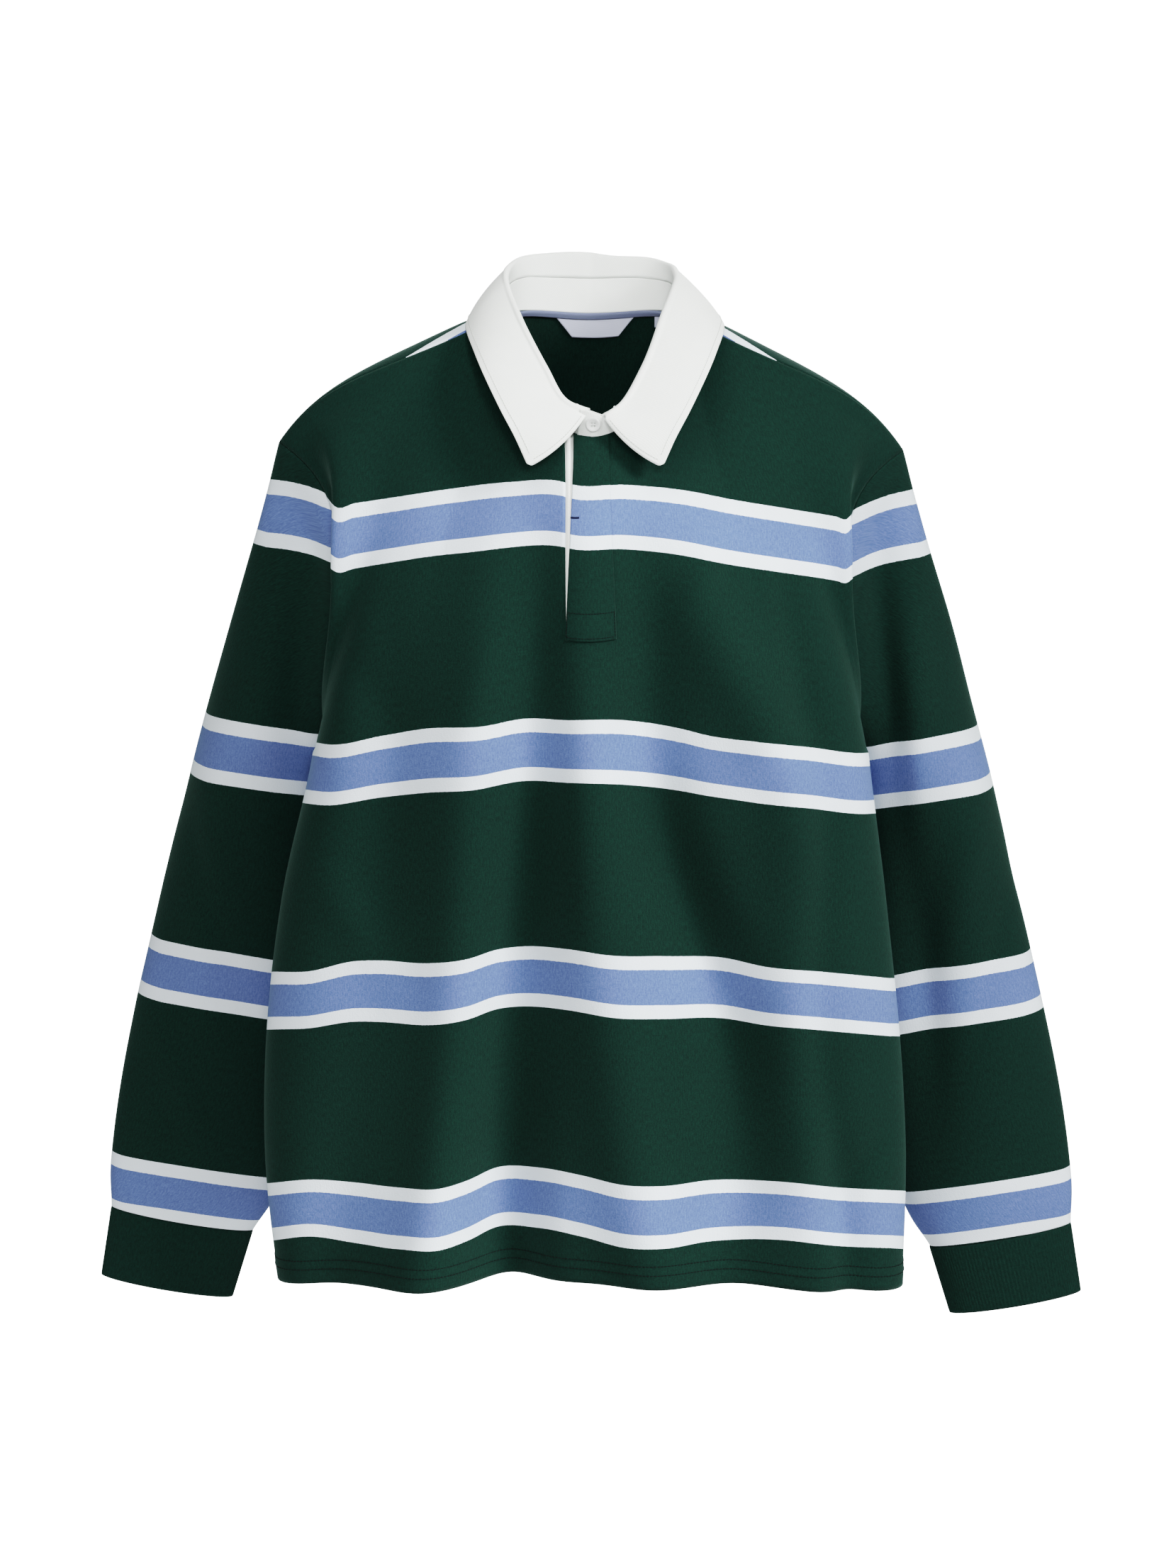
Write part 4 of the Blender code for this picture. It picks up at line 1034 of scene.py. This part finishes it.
def collar_half(side):
    """The four lines of one half at even shares of the neck seam's length."""
    s = np.linspace(0, NECK_SHARE, 400)
    loop = np.concatenate([top_edge(s, "front", side), top_edge(s[::-1], "back", side)[1:]])
    run = lengths(loop)
    shares = np.linspace(0, 1, COLLAR_COLUMNS)
    neck = at_length(shares * run[-1], run, loop)
    lines = []
    for kind in ("fold", "edge"):
        table = np.array([COLLAR[kind + "_" + axis] for axis in "xyz"]).T
        if side > 0:
            table[:, 0] += COLLAR[kind + "_shift"]
            table[:, 2] += COLLAR.get(kind + "_drop", 0.0)
        lines.append(through(shares, COLLAR["share"], table) * (side, 1, 1))
    fold, edge = lines
    height = np.linalg.norm(fold - neck, axis=1)[:, None]
    most = (STAND_MOST - STAND_LESS * smooth(shares / LESS_OVER))[:, None]
    stand = neck + (fold - neck) * np.minimum(STAND_HEIGHT / height, most)
    return neck, stand, fold, edge


neck, stand, fold, edge = (np.concatenate([a, b[-2::-1]])
                           for a, b in zip(collar_half(-1), collar_half(1)))
# The left end of the stand goes under the right one, the more the nearer to the neck seam.
UNDER_COLUMNS, STAND_UNDER, FOLD_UNDER = 14, 0.6, 0.2
ease = (1 - smooth(np.arange(len(neck)) / UNDER_COLUMNS))[:, None]
stand[:, 1:2] += UNDER_END * STAND_UNDER * ease
fold[:, 1:2] += UNDER_END * FOLD_UNDER * ease
# Washed twill ripples a little along its fold at the back: two sines, faded towards the sides.
RIPPLES = ((0.6, 44, 0.6), (0.4, 77, 2.0))      # each one's share, radians in all, and start
RIPPLE_FROM, RIPPLE_OVER = 0.45, 0.2
across = np.linspace(0, 1, len(neck))
at_back = smooth((1 - np.abs(2 * across - 1) - RIPPLE_FROM) / RIPPLE_OVER)
wave = sum(share * np.sin(run * across + start) for share, run, start in RIPPLES) * at_back
fold[:, 2] += BACK_WAVE * wave
print("neck seam", round(float(lengths(neck)[-1]), 3), "m, fold", round(float(lengths(fold)[-1]), 3), "m")

# %% Collar stand
STAND_ROWS, OVERLAP, OVER_END, WAVE_SHARE, WAVE_LATER = 24, 5, 0.75, 0.8, 7
height = np.linspace(0.012, 0.99, STAND_ROWS)[:, None]      # a seam's gap at both edges
band = neck + (stand - neck) * height[..., None]
band[..., 1] += UNDER_END * ease.T * (1 - height)
ripple = BACK_WAVE * WAVE_SHARE * np.roll(wave, WAVE_LATER) * 4 * height * (1 - height)
band += ripple[..., None] * facing(band)
under_end = band[:, -OVERLAP - 1:-1] + (0.0, UNDER_END, 0.0)
over_end = band[:, 1:OVERLAP + 1].copy()
over_end[..., 1] -= UNDER_END * (1 + height) * OVER_END
band = np.concatenate([under_end, band, over_end], axis=1)
stand_piece = lay_cloth("polo_collar_stand", band, TWILL, cotton_twill)
finish_piece(stand_piece, "collar_stand")
print("stand area", round(area_of(band), 4))

# %% Collar fall
FALL_ROWS, ROLL_ROWS, INNER_ROWS, END_COLUMNS = 44, 10, 5, 24
up = unit(fold - stand)
out_of = unit(np.cross(up, np.gradient(fold, axis=0)))
rows = [stand + (fold - stand) * share for share in np.linspace(0.004, 0.55, INNER_ROWS)]
for turn in np.radians(np.linspace(-90, 90, ROLL_ROWS)):
    rows.append(fold - up * ROLL + out_of * ROLL * (1 + np.sin(turn)) + up * ROLL * np.cos(turn))
start = rows[-1]
ahead = unit(np.gradient(fold, axis=0))
ends = np.arange(len(fold)) / END_COLUMNS
to_centre = ahead * (smooth(1 - ends[::-1]) - smooth(1 - ends))[:, None]
for share in np.linspace(0, 1, FALL_ROWS)[1:]:
    bow = 4 * share * (1 - share)
    rows.append(start + (edge - start) * share + out_of * FALL_BOW * bow + to_centre * EDGE_BOW * bow)
fall = np.array(rows)


def round_tip(grid, column, step):
    """Pulls a corner in by TIP_ROUND (1-p)^2 (1-q)^2, p and q the shares of TIP_REACH along
    its two edges."""
    corner = grid[-1, column].copy()
    up_edge = unit(grid[-8, column] - corner)
    along_edge = unit(grid[-1, column + 6 * step] - corner)
    away = grid - corner
    p, q = (np.clip(away @ edge_line / TIP_REACH, 0, 1) for edge_line in (up_edge, along_edge))
    near_corner = np.linalg.norm(away, axis=-1) < 2 * TIP_REACH
    pull = (1 - p) ** 2 * (1 - q) ** 2 * near_corner * TIP_ROUND
    grid += pull[..., None] * unit(up_edge + along_edge)


round_tip(fall, 0, 1)
round_tip(fall, -1, -1)
fall_piece = lay_cloth("polo_collar_fall", fall, TWILL, cotton_twill)
finish_piece(fall_piece, "collar_fall")
print("fall area", round(area_of(fall), 4))

# %% [markdown]
# ## Neck tape and labels
# A herringbone tape covers the back neck seam inside, and two bare satin labels hang from
# it. They lie on the inner face of the back panel, a fraction of a millimetre off it.

# %% Neck tape and labels
TRIM_OFF, TAPE_WIDTH, TAPE_ABOVE, TAPE_LEAN = 0.0008, 0.0038, 0.0012, 0.0004
LABEL_HANG, LABEL_GAP, LABEL_WALL = 0.0008, 0.0002, 0.0004
LABELS = {
    # centre x, half width at the top and at the bottom, length, rows and columns
    "neck_label": (0.003, 0.0295, 0.0178, 0.0145, 16, 40),
    "size_label": (0.055, 0.0070, 0.0070, 0.0105, 12, 12),
}
inside = facing(back_shape)
inner = back_shape + inside * (WALL + TRIM_OFF)
near = np.abs(inner[-1, :, 0]) < NECK_POINT[0] - 0.002      # columns between the neck points


def down_the_back(surface, down):
    """Row of the inner face that lies a length `down` below the neck seam, per column."""
    from_top = surface[::-1]
    run = lengths(from_top[:60], axis=0)
    below = (run < down).sum(axis=0)
    column = np.arange(surface.shape[1])
    a, b = run[below - 1, column], run[below, column]
    f = ((down - a) / (b - a))[:, None]
    return from_top[below - 1, column] * (1 - f) + from_top[below, column] * f


tape_rows = np.array([down_the_back(inner, d) for d in np.linspace(TAPE_WIDTH, 0.0002, 6)])[:, near]
tape_rows = np.concatenate([tape_rows, tape_rows[-1:] + (0, TAPE_LEAN, TAPE_ABOVE)])
tape = lay_cloth("polo_neck_tape", tape_rows, TRIM, herringbone_tape, outward=True)
finish_piece(tape, "neck_tape")
print("tape area", round(area_of(tape_rows), 5))
for node, (x_mid, top, bottom, length, n, m) in LABELS.items():
    rows = []
    for share in np.linspace(1, 0, n):
        line = down_the_back(inner + inside * LABEL_HANG * share,
                             TAPE_WIDTH + LABEL_GAP + length * share)
        xs = x_mid + (top + (bottom - top) * share) * np.linspace(-1, 1, m)
        rows.append(at_length(xs, line[:, 0], line))
    rows = np.array(rows)
    label = lay_cloth("polo_" + node, rows, LABEL_WALL, satin_label, outward=True)
    finish_piece(label, node)

# %% [markdown]
# ## Stitching
# Seen close, a stitch is a short plump bar of thread that dives into the cloth at both
# ends. One function lays such bars along any line on a grid. Hems are twin-needled, the
# placket is boxed at its foot, and the collar is stitched 5 mm inside its edge. The
# buttonhole shows its short bar of close, thick navy stitches.

# %% Stitch helpers
BAR_SIDES = 6
BAR_RINGS = (
    # share of the stitch's length, share of its thickness, and how far out in half thicknesses
    (-0.5, 0.35, -0.7), (-0.25, 1.0, 0.0), (0.25, 1.0, 0.0), (0.5, 0.35, -0.7),
)


def on_surface(grid, rows, columns, lift, flip=False):
    """Points at fractional rows and columns: bilinear in the grid, lifted along its normal."""
    normal = facing(grid, flip)
    rows = np.clip(np.asarray(rows, float), 0, grid.shape[0] - 1.001)
    columns = np.clip(np.asarray(columns, float), 0, grid.shape[1] - 1.001)
    i, j = rows.astype(int), columns.astype(int)
    f, g = (rows - i)[:, None], (columns - j)[:, None]

    def read(a):
        """The four values round each place, weighed by how near they are."""
        return ((a[i, j] * (1 - g) + a[i, j + 1] * g) * (1 - f)
                + (a[i + 1, j] * (1 - g) + a[i + 1, j + 1] * g) * f)

    out = unit(read(normal))
    return read(grid) + out * lift, out


# %% Laying stitches
def stitch_bars(paths, pitch, length, thick):
    """Each stitch is four six-sided rings along the path, small at the ends and sunk there.
    The result is indexed by stitch, ring, point and axis."""
    around = (np.arange(BAR_SIDES) * 2 * np.pi / BAR_SIDES)[:, None, None]
    bars = []
    for points, out in paths:
        run = lengths(points)
        at = np.arange(pitch / 2, run[-1], pitch)
        centre = at_length(at, run, points)
        normal = unit(at_length(at, run, out))
        ahead = unit(at_length(at, run, np.gradient(points, axis=0)))
        circle = np.cos(around) * np.cross(ahead, normal) + np.sin(around) * normal
        rings = [centre + ahead * share * length + (normal * sink + circle * size) * thick / 2
                 for share, size, sink in BAR_RINGS]
        bars.append(np.moveaxis(np.array(rings), 2, 0))
    return np.concatenate(bars)


def lay_stitches(name, paths, material, pitch=0.0028, length=0.0024, thick=0.0006):
    """Rings joined by quads and closed by a six-sided face at both ends."""
    bars = stitch_bars(paths, pitch, length, thick)
    points_each = BAR_SIDES * len(BAR_RINGS)
    starts = points_each * np.arange(len(bars))[:, None]
    end = np.arange(BAR_SIDES)
    faces = (ring_quads(BAR_SIDES, len(BAR_RINGS)) + starts[..., None]).reshape(-1, 4).tolist()
    faces += (end[::-1] + starts).tolist()
    faces += (points_each - BAR_SIDES + end + starts).tolist()
    piece = new_piece(name, bars.reshape(-1, 3), faces, material)
    piece.data.shade_smooth()
    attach(piece, "root")
    print(name, len(bars), "stitches")


def row_at(grid, up, columns):
    """Fractional row at running length `up` from the first row, or back from the last one if
    `up` is below 0, at each column."""
    run = lengths(grid, axis=0)
    whole = np.arange(grid.shape[0])
    return np.array([np.interp(up if up > 0 else run[-1, int(c)] + up, run[:, int(c)], whole)
                     for c in columns])


# %% Hem stitching
LIFT = 0.0002                      # of a thread's middle above the cloth
TWIN_NEEDLES = (0.0115, 0.0185)    # up from the hem's edge
hem_paths = []
for grid, flip in ((front_grid, False), (back_grid, True)):
    columns = np.linspace(0.5, grid.shape[1] - 1.5, 170)      # half a column from the seams
    for up_hem in TWIN_NEEDLES:
        hem_paths.append(on_surface(grid, row_at(grid, up_hem, columns), columns, LIFT, flip))
lay_stitches("polo_hem_stitches", hem_paths, green_thread)

# %% Placket stitching
BOX_LOW, BOX_HIGH = 2.0, 2.0 + 0.0190 / 0.00116      # 19 mm, in rows of the strip 1.16 mm apart
n_rows, n_columns = strip.shape[:2]
on_placket = TRIM + LIFT
box_across = np.linspace(0.6, n_columns - 2.2, 40)
box_up = np.linspace(BOX_LOW, BOX_HIGH, 30)
placket_paths = [on_surface(strip, 0 * box_across + row, box_across, on_placket)
                 for row in (BOX_LOW, BOX_HIGH)]
placket_paths += [on_surface(strip, box_up, 0 * box_up + column, on_placket)
                  for column in (box_across[-1], box_across[0])]
lay_stitches("polo_placket_stitches", placket_paths, green_thread,
             pitch=0.0022, length=0.0018, thick=0.0005)

# %% Buttonhole bar
BAR_DOWN, BAR_RIGHT = 732, (805, 817)      # where it lies in the view, from end to end
right_px, down_px = seen_at(strip)
bar_row = np.interp(BAR_DOWN, down_px[::-1, 6], np.arange(n_rows)[::-1])
bar_columns = np.interp(BAR_RIGHT, right_px[int(bar_row)], np.arange(n_columns))
bar_path = on_surface(strip, np.linspace(bar_row - 0.5, bar_row + 0.7, 12),
                      np.linspace(*bar_columns, 12), on_placket)
lay_stitches("polo_buttonhole", [bar_path], navy_thread,
             pitch=0.0006, length=0.0012, thick=0.0013)

# %% Collar stitching
EDGE_INSET = 0.0048
last = fall.shape[1] - 1
edge_columns = np.linspace(4.5, last - 4.5, 500)
edge_rows = row_at(fall, -EDGE_INSET, edge_columns)
front_rows = np.linspace(INNER_ROWS + ROLL_ROWS + 1, edge_rows[0], 60)
collar_paths = [on_surface(fall, edge_rows, edge_columns, LIFT)]
for column in (2.0, last - 2.0):
    collar_paths.append(on_surface(fall, front_rows, 0 * front_rows + column, LIFT))
stand_columns = np.linspace(60, band.shape[1] - 61, 200)
for row in (STAND_ROWS - 2.4, 2.6):
    collar_paths.append(on_surface(band, 0 * stand_columns + row, stand_columns, TWILL + LIFT, True))
lay_stitches("polo_collar_stitches", collar_paths, white_thread,
             pitch=0.0022, length=0.0019, thick=0.00045)

# %% [markdown]
# ## Collar button
# A four-hole shirt button is a turned disc with a raised rim and a dished middle. Its
# profile is carried round its axis, and the four holes are cut through with a Boolean.

# %% Collar button
BUTTON_RADIUS, BUTTON_THICK, ROUND = 0.0055, 0.0022, 64
PROFILE = (
    # share of the radius and of the thickness, from the dished middle over the rim to the back
    (0.45, 0.7), (0.55, 0.76), (0.70, 0.95), (0.82, 1.0), (0.94, 0.88), (1.0, 0.5),
    (0.97, 0.15), (0.88, 0.0),
)
low, high = (np.array(corner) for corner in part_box("collar_button"))
centre = (low + high) / 2
lean = np.arctan2(NECK_MIDDLE["front"][0] - COLLAR["fold_y"][0],
                  COLLAR["fold_z"][0] - NECK_MIDDLE["front"][1])
axis = np.array([0.0, -np.cos(lean), -np.sin(lean)])
wide = np.array([1.0, 0.0, 0.0])
tall = np.cross(axis, wide)


def circle(sides):
    """Unit circle in the button's plane: cos a * wide + sin a * tall."""
    a = np.arange(sides)[:, None] * 2 * np.pi / sides
    return np.cos(a) * wide + np.sin(a) * tall


body = [centre + axis * (h - 0.5) * BUTTON_THICK + circle(ROUND) * r * BUTTON_RADIUS
        for r, h in PROFILE]
points = np.concatenate(body + [[centre], [centre - axis * 0.5 * BUTTON_THICK]])
faces = ring_quads(ROUND, len(body))[:, (0, 3, 2, 1)].tolist()      # turned to face outward
k = np.arange(ROUND)
after = (k + 1) % ROUND
front_middle, back_middle, back_ring = len(points) - 2, len(points) - 1, len(points) - 2 - ROUND
faces += np.stack([0 * k + front_middle, k, after], 1).tolist()
faces += np.stack([0 * k + back_middle, back_ring + after, back_ring + k], 1).tolist()
button = new_piece("polo_collar_button", points, faces)

# %% Holes of the button
HOLE, HOLE_FROM_AXIS, HOLE_SIDES = 0.00065, 0.0014, 12
places = [(wide * i + tall * j) * HOLE_FROM_AXIS / np.sqrt(2) for i in (-1, 1) for j in (-1, 1)]
prisms = [centre + place + circle(HOLE_SIDES) * HOLE + axis * end * BUTTON_THICK
          for place in places for end in (-1, 1)]
end = np.arange(HOLE_SIDES)
prism_faces = []
for start in range(0, len(prisms) * HOLE_SIDES, 2 * HOLE_SIDES):
    prism_faces += (start + ring_quads(HOLE_SIDES, 2)).tolist()
    prism_faces += [(start + end[::-1]).tolist(), (start + HOLE_SIDES + end).tolist()]
cutter = new_piece("hole_cutter", np.concatenate(prisms), prism_faces)
holes = button.modifiers.new("Holes", "BOOLEAN")
holes.operation, holes.solver, holes.object = "DIFFERENCE", "EXACT", cutter
bpy.context.view_layer.update()
cut = bpy.data.meshes.new_from_object(button.evaluated_get(bpy.context.evaluated_depsgraph_get()))
button.modifiers.clear()
button.data = cut
bpy.data.objects.remove(cutter)
cut.materials.append(button_resin)
cut.shade_smooth()
finish_piece(button, "collar_button")
print("button with its four holes", len(cut.polygons), "faces")

# %% [markdown]
# ## Stage
# A plain pale floor and a white surround keep the cloth's own colours. Both are brighter to
# the camera than the light they give, so that the ground stays white without washing out the
# folds.

# %% Stage
FLOOR_Z, GLOW, AMBIENT = -1.05, 2.6, 0.16
floor_paint, floor_tree, floor_shader = new_finish("matt_white_floor_paint", Roughness=0.9)
floor_shader.inputs["Base Color"].default_value = linear("#D2D2D2")
floor_shader.inputs["Emission Color"].default_value = linear("#FFFFFF")
floor_sees = add(floor_tree, "LightPath").outputs["Is Camera Ray"]
floor_glow = add(floor_tree, "MapRange", {"Value": floor_sees, "To Max": GLOW}).outputs["Result"]
floor_tree.links.new(floor_glow, floor_shader.inputs["Emission Strength"])
floor_corners = [(-9, -6, FLOOR_Z), (9, -6, FLOOR_Z), (9, 12, FLOOR_Z), (-9, 12, FLOOR_Z)]
floor = new_piece("floor", floor_corners, [(0, 1, 2, 3)], floor_paint)

world = bpy.data.worlds.new("studio")
world.use_nodes = True
surround = world.node_tree.nodes["Background"]
surround.inputs["Color"].default_value = (1, 1, 1, 1)
sees = add(world.node_tree, "LightPath").outputs["Is Camera Ray"]
strength = add(world.node_tree, "MapRange", {"Value": sees, "To Min": AMBIENT,
                                             "To Max": GLOW}).outputs["Result"]
world.node_tree.links.new(strength, surround.inputs["Strength"])
bpy.context.scene.world = world

# %% [markdown]
# ## Light
# The key is a large, soft spot at the viewer's right and above, so the folds shade towards
# the left. It is feathered: aimed past the left sleeve, so that its beam fades towards the
# near side. A fill, a weak front lamp and a top lamp open its shadows. A narrow spot lights
# the inside of the neck, and one lamp stands behind for views of the back.

# %% Lamps
LAMPS = (
    # name, place, the point it is aimed at, watts; then an area lamp's size, or a spot's
    # angle in degrees and the radius that softens its shadows
    ("key", (2.4, -1.85, 1.2), (-1.2, 0, -1.5), 960, 40, 0.75),
    ("fill", (-1.5, -2.6, 0.5), (0, 0, -0.4), 25, 1.6),
    ("front", (0.1, -2.8, 0.7), (0, 0, -0.1), 11, 0.5),
    ("neck", (0.25, -1.9, 0.75), (0.01, 0.03, -0.03), 220, 9, 0.25),
    ("top", (-0.3, -1.1, 1.9), (0, 0, -0.1), 16, 1.2),
    ("back", (0.5, 2.6, 1.3), (0, 0, -0.3), 60, 1.6),
)
for name, place, aim, power, *shape in LAMPS:
    data = bpy.data.lights.new(name, "SPOT" if len(shape) == 2 else "AREA")
    data.energy = power
    if data.type == "SPOT":
        data.spot_size, data.spot_blend, data.shadow_soft_size = np.radians(shape[0]), 1.0, shape[1]
    else:
        data.size = shape[0]
    light = put_in_scene(name, data)
    light.location = place
    light.rotation_euler = (Vector(aim) - Vector(place)).to_track_quat("-Z", "Y").to_euler()
print(len(LAMPS), "lamps,", sum(lamp[3] for lamp in LAMPS), "W")

# %% [markdown]
# ## Camera and tones
# A long lens from 2.6 m away keeps the sleeves and the hem nearly free of perspective, as in
# the photograph. Its tones have a soft toe and a long shoulder that holds the whites. The
# view gets that curve, so the materials can keep their real colours.

# %% Camera and tones
camera_data = bpy.data.cameras.new("camera")
camera_data.lens, camera_data.sensor_width, camera_data.sensor_fit = LENS, SENSOR, "AUTO"
camera = put_in_scene("camera", camera_data)
camera.location = CAMERA
camera.rotation_euler = (np.pi / 2 - TILT, 0, 0)
bpy.context.scene.camera = camera

TONES = {"light": (0.0, 0.03, 0.104, 0.24, 0.52, 1.08, 2.0, 2.4),
         "shown": (0.0, 0.013, 0.085, 0.27, 0.53, 0.76, 0.93, 1.0)}
view = bpy.context.scene.view_settings
view.view_transform = "Standard"
view.use_curve_mapping = True
view.curve_mapping.white_level = (TONES["light"][-1],) * 3
tone_curve = view.curve_mapping.curves[3]
for light, shown in zip(TONES["light"][1:-1], TONES["shown"][1:-1]):
    tone_curve.points.new(light / TONES["light"][-1], shown)
view.curve_mapping.update()

# %% [markdown]
# ## End
# The scene is brought up to date. What shows is a few millimetres larger than the box of the
# solids, because folds and collar are shaped more finely here.

# %% End
bpy.context.view_layer.update()
